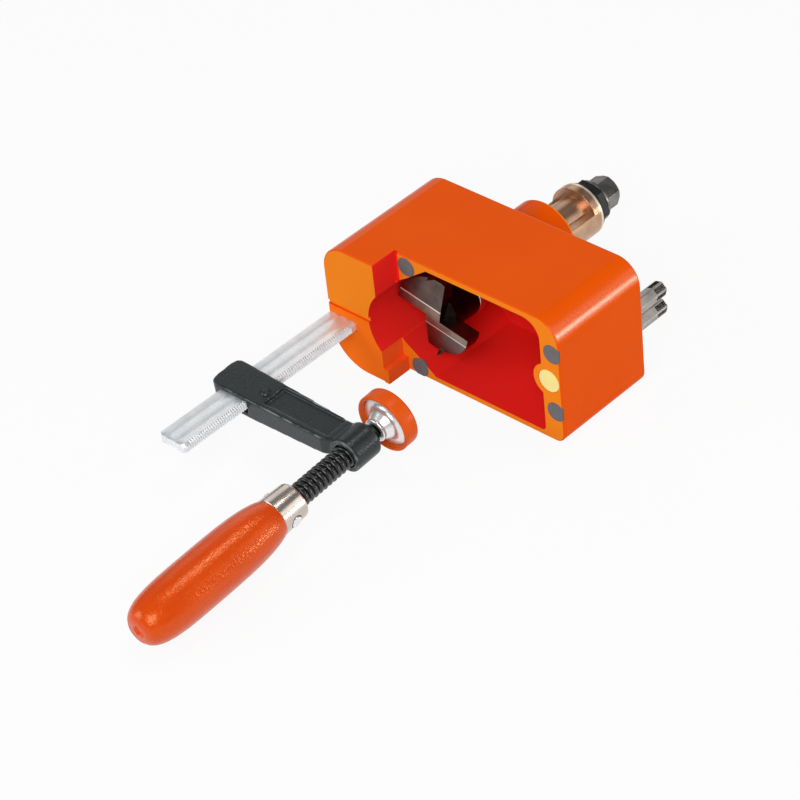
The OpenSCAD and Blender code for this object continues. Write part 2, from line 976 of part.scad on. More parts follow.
module ball_end() {
    color("#8A8A8A")
    screw_frame()
        yturn()
            translate([0, ball_y])
                difference() {
                    circle(ball_r);
                    translate([-big, -big / 2])
                        square(big);
                    translate([-over, -ball_r - over])
                        square([ball_neck_r + run_fit + over, ball_r]);
                }
}

// Right-hand ridge of the clamp screw, one trapezium swept round the Y axis
module thread_ridge(y0, y1) {
    turns = floor((y1 - y0) / pitch) - 1;
    n = turns * ridge_steps;
    step_a = 360 / ridge_steps;
    start = y0 + pitch / 2;
    root = shank_r - ridge_sink;
    half_root = pitch * ridge_root;
    half_tip = pitch * ridge_tip;
    ring = [[root, -half_root], [screw_r, -half_tip], [screw_r, half_tip], [root, half_root]];
    points = [for (i = [0 : n], p = ring)
        [p[0] * sin(i * step_a), start + pitch * i / ridge_steps + p[1], p[0] * cos(i * step_a)]];
    sides = [for (i = [0 : n - 1], k = [0 : 3], t = [0, 1])
        t == 0
            ? [4 * i + k, 4 * i + (k + 1) % 4, 4 * i + 4 + k]
            : [4 * i + (k + 1) % 4, 4 * i + 4 + (k + 1) % 4, 4 * i + 4 + k]];
    ends = [[2, 1, 0], [3, 2, 0], [4 * n, 4 * n + 1, 4 * n + 2], [4 * n, 4 * n + 2, 4 * n + 3]];
    polyhedron(points, concat(sides, ends), convexity = 20);
}

module cross_pin_axis() {
    translate([0, cross_pin_y, 0])
        rotate([0, -cross_pin_dir, 0])
            rotate([0, 90, 0])
                children();
}

module clamp_screw() {
    color("#2A2E2E")
    screw_frame()
        difference() {
            union() {
                ycyl(shank_r, shank_end, thread_end);
                ycyl(ball_neck_r, thread_end - nudge, ball_y - over);
                thread_ridge(ferrule_y, thread_end);
            }
            cross_pin_axis()
                cylinder(r = cross_pin_r, h = big, center = true);
        }
}

module ferrule() {
    color("#B8AFA6")
    screw_frame()
        difference() {
            yturn()
                polygon([
                    [tenon_r, handle_y],
                    [ferrule_r, handle_y],
                    [ferrule_front_r, ferrule_y - bold_edge],
                    [ferrule_front_r - bold_edge, ferrule_y],
                    [shank_r, ferrule_y],
                    [shank_r, ferrule_y - ferrule_cap],
                    [tenon_r, ferrule_y - ferrule_cap]
                ]);
            cross_pin_axis()
                cylinder(r = cross_pin_r, h = big, center = true);
        }
}

module ferrule_pin() {
    reach = ferrule_front_r + cross_pin_proud;
    color("#C8CCCC")
    screw_frame()
        cross_pin_axis()
            union() {
                cylinder(r = cross_pin_r, h = 2 * (reach - pin_dome), center = true);
                for (s = [0, 180])
                    rotate([s, 0, 0])
                        translate([0, 0, reach - pin_dome])
                            cylinder(r1 = cross_pin_r, r2 = cross_pin_r / 2, h = pin_dome);
            }
}

function handle_half(t) =
    t < handle_belly ? handle_belly + handle_nose : handle_len - handle_belly + handle_shoulder;
function handle_radius(t) =
    handle_r * pow(1 - pow(abs(t - handle_belly) / handle_half(t), handle_power), 1 / handle_power);

module handle() {
    color("#E2420E")
    screw_frame()
        difference() {
            yturn()
                polygon(concat(
                    [[shank_r, ferrule_y - ferrule_cap], [shank_r, shank_end], [0, shank_end],
                     [0, handle_end + dimple_d], [dimple_r - edge, handle_end + dimple_d],
                     [dimple_r, handle_end]],
                    [for (i = [0 : handle_rings], t = [handle_len * i / handle_rings])
                        [handle_radius(t), handle_end + t]],
                    [[tenon_r, handle_y], [tenon_r, ferrule_y - ferrule_cap]]
                ));
            cross_pin_axis()
                cylinder(r = cross_pin_r, h = big, center = true);
        }
}

module pressure_plate() {
    color("#C4C6C8")
    screw_frame()
        difference() {
            yturn()
                polygon([
                    [0, neck_front],
                    [neck_r, neck_front],
                    [neck_foot_r - edge, ball_y - edge],
                    [neck_foot_r, plate_back - dish_t - edge],
                    [neck_foot_r + edge, plate_back - dish_t],
                    [dish_r, plate_back - dish_t],
                    [dish_r, plate_back],
                    [0, plate_back]
                ]);
            translate([0, ball_y, 0])
                sphere(ball_r + run_fit);
            ycyl(neck_mouth_r, neck_front - over, ball_y);
        }
}

module plate_cap() {
    color("#E2420E")
    screw_frame()
        yturn()
            polygon([
                [0, plate_back],
                [cap_r - cap_wall, plate_back],
                [cap_r - cap_wall, cap_front],
                [cap_r - edge, cap_front],
                [cap_r, cap_front + edge],
                [cap_r, cap_back - bold_edge],
                [cap_r - bold_edge, cap_back],
                [0, cap_back]
            ]);
}

housing();
pad_upper_left();
pad_lower_left();
pad_upper_right();
pad_lower_right();
sighting_disc();
guide_sleeve();
guide_screw();
boring_bit();
hub_ring();
spindle();
keeper_ring();
rear_washer();
lock_nut();
drive_hex();
driver_bit_upper();
driver_bit_lower();
clamp_bar();
bar_pins();
sliding_arm();
arm_rivet();
ball_end();
clamp_screw();
ferrule();
ferrule_pin();
handle();
pressure_plate();
plate_cap();
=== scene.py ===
import json
import math

import bmesh
import bpy
from mathutils import Matrix, Vector


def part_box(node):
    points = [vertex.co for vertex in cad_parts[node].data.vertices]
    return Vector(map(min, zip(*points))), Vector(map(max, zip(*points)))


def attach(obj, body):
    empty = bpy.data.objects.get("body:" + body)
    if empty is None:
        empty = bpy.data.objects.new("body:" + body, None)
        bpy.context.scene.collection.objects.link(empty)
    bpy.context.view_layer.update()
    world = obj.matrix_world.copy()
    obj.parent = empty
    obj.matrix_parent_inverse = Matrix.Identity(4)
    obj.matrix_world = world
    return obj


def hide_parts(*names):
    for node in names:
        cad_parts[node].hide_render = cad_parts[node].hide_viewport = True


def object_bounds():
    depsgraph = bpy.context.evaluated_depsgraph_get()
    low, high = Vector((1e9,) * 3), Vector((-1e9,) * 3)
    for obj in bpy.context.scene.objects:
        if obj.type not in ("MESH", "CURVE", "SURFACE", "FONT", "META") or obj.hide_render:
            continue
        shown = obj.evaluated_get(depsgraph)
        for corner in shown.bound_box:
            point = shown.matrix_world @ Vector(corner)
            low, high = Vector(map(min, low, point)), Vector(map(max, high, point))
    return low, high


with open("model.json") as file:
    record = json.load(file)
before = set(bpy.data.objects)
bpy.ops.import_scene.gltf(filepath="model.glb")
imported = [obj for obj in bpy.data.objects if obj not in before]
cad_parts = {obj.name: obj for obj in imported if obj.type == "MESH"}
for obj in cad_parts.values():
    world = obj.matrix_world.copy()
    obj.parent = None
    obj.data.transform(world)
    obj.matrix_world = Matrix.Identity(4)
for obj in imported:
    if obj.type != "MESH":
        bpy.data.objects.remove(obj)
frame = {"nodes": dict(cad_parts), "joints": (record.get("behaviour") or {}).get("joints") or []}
cad_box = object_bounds()

# Lengths are in millimetres, and MM turns them into the frame's metres. Only the lamps are given in metres.
MM = 0.001

# The photograph's view: where the camera stands round the drill point and how it is framed.
PHOTO_SIZE = 800
VIEW_AZIMUTH = 46.52
VIEW_ELEVATION = 38.01
VIEW_ROLL = -6.534
VIEW_DISTANCE = 1325.32
FOCAL_PIXELS = 3117.99
DRILL_POINT_PIXEL = (425.9, 322.72)
SENSOR = 36

# How meshes are picked, cleaned and shaded: lengths that count as one, angles in degrees, and steps.
MERGE = 0.001
SAME = 0.01
PLAY = 0.1
FLAT = 0.5
SHARP = 30
ROUNDED_SMOOTH = 50
EDGE_STEPS = 3
FILLET_STEPS = 6

# The clamp's own line: the screw runs along it, and stations are measured from the arm's middle.
SCREW = next(j for j in frame["joints"] if j["name"] == "screw_turn")
SCREW_R = 5.25
SCREW_PITCH = 2.75
THREAD_DEPTH = 1.15
THREAD_FROM = -37.4
THREAD_TO = 9.4
THREAD_ROOT_R = SCREW_R - THREAD_DEPTH
FERRULE_FROM = -51
FERRULE_TO = -37.4
FERRULE_FRONT_R = 8.2
FERRULE_WALL = 1.2
TENON_R = FERRULE_FRONT_R - FERRULE_WALL
HANDLE_R = 12
DISH_TO = 19.5
# The play between turned pieces that fit into each other.
FIT = 0.05

# A Mix node's sockets for colours.
FACTOR = 0
COLOUR_A = 6
COLOUR_B = 7
MIXED = 2


def linear(hex_colour):
    """An sRGB hex colour as linear red, green, blue and alpha."""
    parts = [int(hex_colour[i:i + 2], 16) / 255 for i in (1, 3, 5)]
    return [c / 12.92 if c <= 0.04045 else ((c + 0.055) / 1.055) ** 2.4 for c in parts] + [1]


def per(size):
    """The texture scale at which a pattern repeats about every size millimetres."""
    return 1 / (size * MM)


def add(tree, kind, inputs=None, **settings):
    """Adds a node: settings are its properties, inputs are values to set or sockets to link."""
    made = tree.nodes.new(kind)
    for name, value in settings.items():
        setattr(made, name, value)
    for name, value in (inputs or {}).items():
        if isinstance(value, bpy.types.NodeSocket):
            tree.links.new(value, made.inputs[name])
        else:
            made.inputs[name].default_value = value
    return made


def surface(name):
    """A new material with its tree, its Principled shader and its Object coordinates."""
    material = bpy.data.materials.new(name)
    material.use_nodes = True
    tree = material.node_tree
    coords = add(tree, "ShaderNodeTexCoord").outputs["Object"]
    return material, tree, tree.nodes["Principled BSDF"], coords


def finish_shader(tree, shader, links, **values):
    """Links sockets to the shader's inputs and sets the values that are the same all over."""
    for name, socket in links.items():
        tree.links.new(socket, shader.inputs[name])
    for name, value in values.items():
        shader.inputs[name.replace("_", " ")].default_value = value


# Orange pigment warms the gloss of the paints that hold it; a thick run of clear film stays nearly white.
PAINT_GLOSS = "#FFC488"
RUN_GLOSS = "#FFFCE0"
DULL = 0.03


def powder_coat(name, base, deep, roughness, gloss=DULL, run=None):
    """Powder coat baked on a casting: satin, with a fine orange-peel skin, glossier where it has run."""
    material, tree, shader, at = surface(name)
    cloud = add(tree, "ShaderNodeTexNoise", {"Vector": at, "Scale": per(28), "Detail": 2})
    colour = add(tree, "ShaderNodeMix",
                 {FACTOR: cloud.outputs["Fac"], COLOUR_A: linear(base), COLOUR_B: linear(deep)},
                 data_type="RGBA")
    peel = add(tree, "ShaderNodeTexNoise", {"Vector": at, "Scale": per(1.1), "Detail": 1})
    bump = add(tree, "ShaderNodeBump",
               {"Height": peel.outputs["Fac"], "Strength": 0.06, "Distance": 0.1 * MM})
    rough = add(tree, "ShaderNodeMapRange",
                {"Value": peel.outputs["Fac"], "To Min": roughness - 0.04, "To Max": roughness + 0.04})
    links = {"Base Color": colour.outputs[MIXED], "Roughness": rough.outputs[0], "Normal": bump.outputs[0]}
    tint = PAINT_GLOSS
    if run:
        tint = RUN_GLOSS
        height = add(tree, "ShaderNodeSeparateXYZ", {0: at}).outputs["Z"]
        foot, crest = (add(tree, "ShaderNodeMapRange",
                           {"Value": height, "From Min": dull * MM, "From Max": wet * MM,
                            "To Min": DULL, "To Max": gloss}) for dull, wet in run)
        thick = add(tree, "ShaderNodeMath", {0: foot.outputs[0], 1: crest.outputs[0]}, operation="MINIMUM")
        links["Specular IOR Level"] = thick.outputs[0]
    finish_shader(tree, shader, links, Specular_IOR_Level=gloss, Specular_Tint=linear(tint))
    return material


def lacquered_wood(name, base, deep, streak):
    """Turned beech under thick orange lacquer: long faint grain and a wet gloss with fine ripples."""
    material, tree, shader, at = surface(name)
    along = add(tree, "ShaderNodeMapping", {"Vector": at, "Scale": (1, 0.09, 1)})
    grain = add(tree, "ShaderNodeTexNoise", {"Vector": along.outputs[0], "Scale": per(1.3), "Detail": 4})
    cloud = add(tree, "ShaderNodeTexNoise", {"Vector": at, "Scale": per(18), "Detail": 2})
    body = add(tree, "ShaderNodeMix",
               {FACTOR: cloud.outputs["Fac"], COLOUR_A: linear(base), COLOUR_B: linear(deep)},
               data_type="RGBA")
    lines = add(tree, "ShaderNodeMapRange",
                {"Value": grain.outputs["Fac"], "From Min": 0.5, "From Max": 0.75, "To Max": 0.35})
    colour = add(tree, "ShaderNodeMix",
                 {FACTOR: lines.outputs[0], COLOUR_A: body.outputs[MIXED], COLOUR_B: linear(streak)},
                 data_type="RGBA")
    ripple = add(tree, "ShaderNodeTexNoise", {"Vector": at, "Scale": per(0.9), "Detail": 2})
    bump = add(tree, "ShaderNodeBump",
               {"Height": ripple.outputs["Fac"], "Strength": 1, "Distance": 0.17 * MM})
    links = {"Base Color": colour.outputs[MIXED], "Normal": bump.outputs[0]}
    finish_shader(tree, shader, links, Roughness=0.2, Specular_IOR_Level=0.8,
                  Specular_Tint=linear(PAINT_GLOSS))
    return material


def moulded_plastic(name, base, deep, roughness):
    """Injection-moulded thermoplastic: even colour, soft sheen and a fine spark-eroded skin."""
    material, tree, shader, at = surface(name)
    cloud = add(tree, "ShaderNodeTexNoise", {"Vector": at, "Scale": per(9), "Detail": 2})
    colour = add(tree, "ShaderNodeMix",
                 {FACTOR: cloud.outputs["Fac"], COLOUR_A: linear(base), COLOUR_B: linear(deep)},
                 data_type="RGBA")
    skin = add(tree, "ShaderNodeTexNoise", {"Vector": at, "Scale": per(0.5), "Detail": 2})
    bump = add(tree, "ShaderNodeBump",
               {"Height": skin.outputs["Fac"], "Strength": 0.08, "Distance": 0.06 * MM})
    links = {"Base Color": colour.outputs[MIXED], "Normal": bump.outputs[0]}
    finish_shader(tree, shader, links, Roughness=roughness, Specular_IOR_Level=0.12)
    return material


def rubber(name, base, dust):
    """Moulded grey rubber: dull, a little dusty, with a fine matt grain."""
    material, tree, shader, at = surface(name)
    cloud = add(tree, "ShaderNodeTexNoise", {"Vector": at, "Scale": per(2.5), "Detail": 4})
    colour = add(tree, "ShaderNodeMix",
                 {FACTOR: cloud.outputs["Fac"], COLOUR_A: linear(base), COLOUR_B: linear(dust)},
                 data_type="RGBA")
    skin = add(tree, "ShaderNodeTexNoise", {"Vector": at, "Scale": per(0.4), "Detail": 3})
    bump = add(tree, "ShaderNodeBump",
               {"Height": skin.outputs["Fac"], "Strength": 0.2, "Distance": 0.08 * MM})
    links = {"Base Color": colour.outputs[MIXED], "Normal": bump.outputs[0]}
    finish_shader(tree, shader, links, Roughness=0.72, Specular_IOR_Level=0.3)
    return material


def worked_metal(name, base, deep, roughness, stretch, line, depth, bare=1):
    """Bare metal with the marks of its making: fine lines, drawn out by stretch along each axis."""
    material, tree, shader, at = surface(name)
    along = add(tree, "ShaderNodeMapping", {"Vector": at, "Scale": stretch})
    lines = add(tree, "ShaderNodeTexNoise", {"Vector": along.outputs[0], "Scale": per(line), "Detail": 4})
    cloud = add(tree, "ShaderNodeTexNoise", {"Vector": at, "Scale": per(6), "Detail": 3})
    mixed = add(tree, "ShaderNodeMath", {0: lines.outputs["Fac"], 1: cloud.outputs["Fac"]},
                operation="MULTIPLY")
    share = add(tree, "ShaderNodeMapRange", {"Value": mixed.outputs[0], "From Min": 0.12, "From Max": 0.42})
    colour = add(tree, "ShaderNodeMix",
                 {FACTOR: share.outputs[0], COLOUR_A: linear(deep), COLOUR_B: linear(base)},
                 data_type="RGBA")
    rough = add(tree, "ShaderNodeMapRange",
                {"Value": lines.outputs["Fac"], "To Min": roughness - 0.06, "To Max": roughness + 0.08})
    bump = add(tree, "ShaderNodeBump",
               {"Height": lines.outputs["Fac"], "Strength": depth, "Distance": 0.05 * MM})
    links = {"Base Color": colour.outputs[MIXED], "Roughness": rough.outputs[0], "Normal": bump.outputs[0]}
    finish_shader(tree, shader, links, Metallic=bare)
    return material


# How far, in millimetres, a point stands out of its neighbours where the black starts to rub off and to
# take a painted edge highlight.
WEAR_SHEEN_FROM = 0.018
WEAR_SHEEN_TO = 0.027


def black_finish(name, base, pale, roughness, grit, depth, gloss, worn_and_lit="#2C2E2E"):
    """Black on iron, painted or phosphated: nearly neutral, gritty, and pale on its edges, where the paint
    is rubbed and an edge highlight is painted.
    """
    material, tree, shader, at = surface(name)
    cloud = add(tree, "ShaderNodeTexNoise", {"Vector": at, "Scale": per(5), "Detail": 3})
    colour = add(tree, "ShaderNodeMix",
                 {FACTOR: cloud.outputs["Fac"], COLOUR_A: linear(base), COLOUR_B: linear(pale)},
                 data_type="RGBA")
    skin = add(tree, "ShaderNodeTexNoise", {"Vector": at, "Scale": per(grit), "Detail": 3})
    bump = add(tree, "ShaderNodeBump",
               {"Height": skin.outputs["Fac"], "Strength": depth, "Distance": 0.15 * MM})
    rough = add(tree, "ShaderNodeMapRange",
                {"Value": skin.outputs["Fac"], "To Min": roughness - 0.1, "To Max": roughness + 0.1})
    wear_and_sheen = add(tree, "ShaderNodeAttribute", attribute_name="wear_and_sheen")
    patch = add(tree, "ShaderNodeMapRange",
                {"Value": cloud.outputs["Fac"], "From Min": 0.4, "From Max": 0.62, "To Max": 0.85})
    rubbed_and_lit = add(tree, "ShaderNodeMapRange",
                 {"Value": wear_and_sheen.outputs["Fac"], "From Min": WEAR_SHEEN_FROM, "From Max": WEAR_SHEEN_TO,
                  "To Max": patch.outputs[0]})
    edged = add(tree, "ShaderNodeMix",
                {FACTOR: rubbed_and_lit.outputs[0], COLOUR_A: colour.outputs[MIXED], COLOUR_B: linear(worn_and_lit)},
                data_type="RGBA")
    links = {"Base Color": edged.outputs[MIXED], "Roughness": rough.outputs[0], "Normal": bump.outputs[0]}
    finish_shader(tree, shader, links, Specular_IOR_Level=gloss)
    return material


# Powder coat on the casting: deep orange. The paler coats on the eased edges, on the faces that look
# forward and on the lip are painted highlight and painted light, and the chamber's deep red is painted
# bounce light and shade.
COAT = powder_coat("powder_coated_casting", "#F05A06", "#EB5405", 0.2)
# A paler coat for the eased edges: painted edge highlight.
COAT_EDGE_HIGHLIGHT = powder_coat("powder_coat_painted_edge_highlight", "#FFA03C", "#F89432", 0.22)
# A paler coat for the faces that look forward: painted front light.
COAT_FRONT_LIT = powder_coat("powder_coat_painted_front_light", "#F98A1C", "#F5821A", 0.34)
# A paler, redder coat for the block's lower front: painted front light.
COAT_FRONT_LIT_LOW = powder_coat("powder_coat_painted_front_light_low", "#FF7612", "#FA7010", 0.34)
# A paler coat for the lip's faces, which lie in shade: painted light.
COAT_LIP_LIT = powder_coat("powder_coat_painted_light_on_lip", "#FF6526", "#FA6022", 0.3)
# Deep red for the chip chamber: painted bounce light and shade.
COAT_CHAMBER_SHADE = powder_coat("powder_coat_painted_chamber_bounce", "#F82A25", "#F22723", 0.4)
COAT_CORNER = powder_coat("powder_coat_pooled_on_corners", "#F05A06", "#EB5405", 0.3, 0.2)
# Heights between which the coat on the right corner turns from dull to wet, from below and from above.
CORNER_RUN = ((21.6, 22.8), (30, 24))
COAT_RUN = powder_coat("powder_coat_run_down_a_corner", "#F05A06", "#EB5405", 0.28, 0.85, CORNER_RUN)

# Lacquered beech looks wet, the two plastics have a soft sheen, and the rubber is dull.
LACQUER = lacquered_wood("lacquered_beech", "#E04C0A", "#D84408", "#C03A06")
ORANGE_PLASTIC = moulded_plastic("moulded_orange_polyethylene", "#E65A0E", "#E0540C", 0.3)
YELLOW_PLASTIC = moulded_plastic("moulded_yellow_acrylic", "#FFEFA0", "#FBE68C", 0.2)
GREY_RUBBER = rubber("moulded_grey_rubber", "#605E60", "#757275")

# Bare metals. LATHE draws fine rings round the drill axis, and GROUND draws fine level lines.
LATHE = (1, 14, 1)
GROUND = (1, 1, 12)
BRONZE = worked_metal("turned_sintered_bronze", "#D2AC8E", "#AA8468", 0.3, LATHE, 0.5, 0.2)
# A near-white band for the collar's end: painted highlight.
BRONZE_HIGHLIGHT = worked_metal("bronze_painted_highlight", "#F6E8DC", "#E6D2C2", 0.3, LATHE, 0.5, 0.05, 0.7)
TOOL_STEEL = worked_metal("ground_tool_steel", "#7A6E67", "#554B46", 0.3, GROUND, 0.35, 0.15)
# A paler band behind each cutting edge: painted light on a lit face.
LAND_STEEL_LIT = worked_metal("cutting_land_painted_light", "#A08E80", "#6E5E54", 0.34, GROUND, 0.3, 0.15)
# A near-white line behind each land: painted highlight.
EDGE_STEEL_HIGHLIGHT = worked_metal("cutting_edge_painted_highlight", "#F2EEEA", "#DCD6D0", 0.3, GROUND, 0.3, 0.05, 0.6)
# Near black for the hub and flanks: painted shade.
HUB_STEEL_SHADE = worked_metal("steel_painted_dark_for_shade", "#2A2320", "#181412", 0.34, LATHE, 0.5, 0.15)
DRIVE_STEEL = worked_metal("black_oxide_on_turned_steel", "#9A9894", "#5A5956", 0.32, LATHE, 0.5, 0.1)
BRIGHT_STEEL = worked_metal("polished_steel", "#D8D8D6", "#B4B4B2", 0.14, LATHE, 0.3, 0.08)
DRIVER_STEEL = worked_metal("satin_nickel_on_steel", "#B8B2AD", "#8A847F", 0.32, (8, 1, 8), 0.4, 0.06)
ZINC_BAR = worked_metal("dull_zinc_plated_bar", "#F8FAFC", "#E4E8EB", 0.36, (5, 0.2, 5), 2.4, 0.02, 0.6)
ZINC_PLATE = worked_metal("pressed_zinc_plated_steel", "#F6F6F6", "#E4E4E4", 0.3, (2, 2, 2), 1.2, 0.03, 0.8)
NICKEL = worked_metal("drawn_nickel_plated_steel", "#D6CBC2", "#C6BAB0", 0.24, (3, 0.2, 3), 2.2, 0.004)

# Blacks: a satin oxide, a smooth and glossy rolled thread, and a gritty casting with pale edges, rubbed and
# with a painted edge highlight.
BLACK_OXIDE = black_finish("black_oxide_steel", "#101212", "#181A1A", 0.34, 0.5, 0.15, 0.3)
BLACK_SCREW = black_finish("phosphated_rolled_thread", "#060707", "#0B0C0C", 0.3, 0.6, 0.02, 0.8)
BLACK_CASTING = black_finish("black_painted_casting", "#1E2526", "#292F31", 0.3, 0.9, 0.75, 0.34, "#868E90")


def pick(piece):
    """Leaves only this piece selected and active."""
    bpy.ops.object.select_all(action="DESELECT")
    piece.select_set(True)
    bpy.context.view_layer.objects.active = piece


def use(piece, kind, **settings):
    """Adds a modifier with its settings and applies it."""
    pick(piece)
    modifier = piece.modifiers.new(kind.title(), kind)
    for name, value in settings.items():
        setattr(modifier, name, value)
    bpy.ops.object.modifier_apply(modifier=modifier.name)


def place(piece, matrix):
    """Moves a piece that was modelled at the origin to its place, which goes into its mesh."""
    pick(piece)
    piece.matrix_world = matrix
    bpy.ops.object.transform_apply(location=True, rotation=True, scale=True)


def smooth(piece, angle=35):
    """Shades a piece smooth except at edges sharper than angle."""
    pick(piece)
    bpy.ops.object.shade_smooth_by_angle(angle=math.radians(angle))


def rounded(piece, width, angle=SHARP):
    """Rounds over every edge sharper than angle and shades the flats flat."""
    use(piece, "BEVEL", width=width * MM, segments=EDGE_STEPS, limit_method="ANGLE",
        angle_limit=math.radians(angle), use_clamp_overlap=False)
    smooth(piece, ROUNDED_SMOOTH)
    use(piece, "WEIGHTED_NORMAL", keep_sharp=True)


def give(piece, materials):
    """Fills a piece's material slots, in this order."""
    piece.data.materials.clear()
    for material in materials:
        piece.data.materials.append(material)


def dress(piece, body, materials, slot, *nodes):
    """Sets a piece on its body and lets it stand for its CAD nodes.

    A single finish is given here. Several have been given before, face by face.
    """
    if len(materials) == 1:
        give(piece, materials)
    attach(piece, body)
    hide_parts(*nodes)


def copied(node, name):
    """A copy of a CAD node with its loose triangles merged and its flats joined."""
    piece = bpy.data.objects.new(name, frame["nodes"][node].data.copy())
    bpy.context.scene.collection.objects.link(piece)
    pick(piece)
    if piece.data.has_custom_normals:
        bpy.ops.mesh.customdata_custom_splitnormals_clear()
    bpy.ops.object.mode_set(mode="EDIT")
    bpy.ops.mesh.select_all(action="SELECT")
    bpy.ops.mesh.remove_doubles(threshold=MERGE * MM)
    bpy.ops.mesh.dissolve_limited(angle_limit=math.radians(FLAT))
    bpy.ops.object.mode_set(mode="OBJECT")
    return piece


def arc(station, radius, size, start, end, steps=6):
    """Rings of a rounding about a centre at (station, radius): 0 degrees points along, 90 outwards."""
    turns = [math.radians(start + (end - start) * i / steps) for i in range(steps + 1)]
    return [(station + size * math.cos(t), radius + size * math.sin(t)) for t in turns]


def turned(name, rings, sides=96, hollow=False):
    """A lathe piece on the Z axis: a disc or ring, extruded from station to station and scaled."""
    bpy.ops.object.select_all(action="DESELECT")
    (start, radius), *others = rings
    bpy.ops.mesh.primitive_circle_add(vertices=sides, radius=radius * MM, location=(0, 0, start * MM),
                                      fill_type="NOTHING" if hollow else "NGON")
    piece = bpy.context.object
    piece.name = name
    bpy.ops.object.transform_apply(location=True)
    bpy.ops.object.mode_set(mode="EDIT")
    bpy.ops.mesh.select_all(action="SELECT")
    last, width = start, radius
    for station, radius in others:
        step = {"value": (0, 0, (station - last) * MM)}
        if hollow:
            bpy.ops.mesh.extrude_edges_move(TRANSFORM_OT_translate=step)
        else:
            bpy.ops.mesh.extrude_region_move(TRANSFORM_OT_translate=step)
        grow = radius / width
        bpy.ops.transform.resize(value=(grow, grow, 1), center_override=(0, 0, station * MM))
        last, width = station, radius
    bpy.ops.mesh.select_all(action="SELECT")
    bpy.ops.mesh.remove_doubles(threshold=MERGE * MM)
    bpy.ops.mesh.normals_make_consistent(inside=False)
    bpy.ops.object.mode_set(mode="OBJECT")
    return piece


def mark_wear_and_sheen(piece, passes):
    """Keeps, for each point, how far it stands out of its neighbours, evened out over some passes."""
    form = bmesh.new()
    form.from_mesh(piece.data)
    form.verts.ensure_lookup_table()
    around = [[edge.other_vert(vertex).index for edge in vertex.link_edges] for vertex in form.verts]
    spots = [vertex.co / MM for vertex in form.verts]
    out = []
    for spot, near_by, vertex in zip(spots, around, form.verts):
        mean = sum((spots[i] for i in near_by), Vector()) / len(near_by)
        out.append((spot - mean).dot(vertex.normal))
    for _ in range(passes):
        out = [(out[i] + sum(out[j] for j in near_by)) / (1 + len(near_by))
               for i, near_by in enumerate(around)]
    form.free()
    piece.data.attributes.new("wear_and_sheen", "FLOAT", "POINT").data.foreach_set("value", out)


def ease(piece, width, segments, wanted, coat):
    """Bevels the sharp edges whose two ends, in millimetres, are wanted, and coats the bevel."""
    pick(piece)
    bpy.ops.object.mode_set(mode="EDIT")
    bpy.ops.mesh.select_mode(type="EDGE")
    bpy.ops.mesh.select_all(action="DESELECT")
    form = bmesh.from_edit_mesh(piece.data)
    for edge in form.edges:
        sharp = edge.is_manifold and edge.calc_face_angle() > math.radians(SHARP)
        edge.select_set(sharp and wanted(*(v.co / MM for v in edge.verts)))
    bmesh.update_edit_mesh(piece.data)
    bpy.ops.mesh.bevel(offset=width * MM, segments=segments, affect="EDGES", clamp_overlap=True,
                       material=piece.data.materials.find(coat.name))
    bpy.ops.mesh.select_all(action="DESELECT")
    bpy.ops.object.mode_set(mode="OBJECT")


def knit(piece, gap):
    """Merges points closer than gap, in millimetres, and drops the slivers between them."""
    pick(piece)
    bpy.ops.object.mode_set(mode="EDIT")
    bpy.ops.mesh.select_all(action="SELECT")
    bpy.ops.mesh.remove_doubles(threshold=gap * MM)
    bpy.ops.mesh.dissolve_degenerate(threshold=gap * MM)
    bpy.ops.mesh.select_all(action="DESELECT")
    bpy.ops.object.mode_set(mode="OBJECT")


def near(value, target):
    """Whether two lengths in millimetres agree."""
    return abs(value - target) < SAME


# Housing: the powder-coated casting, its edges eased as the coat leaves them.
POCKETS = ["pad_upper_left", "pad_lower_left", "pad_upper_right", "pad_lower_right", "sighting_disc"]
POCKET_R = 6
RIM_Y = 0
RIM_EASE = 0.5
BACK_Y = 54
BOSS_END_Y = 80
BOSS_BAND = 2
BOSS_EASE = 0.4
BLOCK_Y = -13
BLOCK_EASE = 0.6
SLIT_Z = -1
STOP_X = -15.6
LIP_X = -12.8
LIP_Z = -14.8
LIP_REACH = 1
LIP_BAND = 0.3
CHAMBER_X = (-22, 65.1)
CHAMBER_Y = 49.6
CHAMBER_Z = 28.2
CHAMBER_BACK = 49.5
CHAMBER_FILLET = 5
SWARF_R = 21.4
SWARF_BAND = 1
CORNER_Z = 18
CORNER_TILT = (0.1, 0.99)
HOUSING_KNIT = 0.01
HOUSING_COATS = [COAT, COAT_EDGE_HIGHLIGHT, COAT_FRONT_LIT, COAT_CHAMBER_SHADE, COAT_CORNER, COAT_RUN, COAT_FRONT_LIT_LOW, COAT_LIP_LIT]
housing = copied("housing", "housing_shell")
give(housing, HOUSING_COATS)


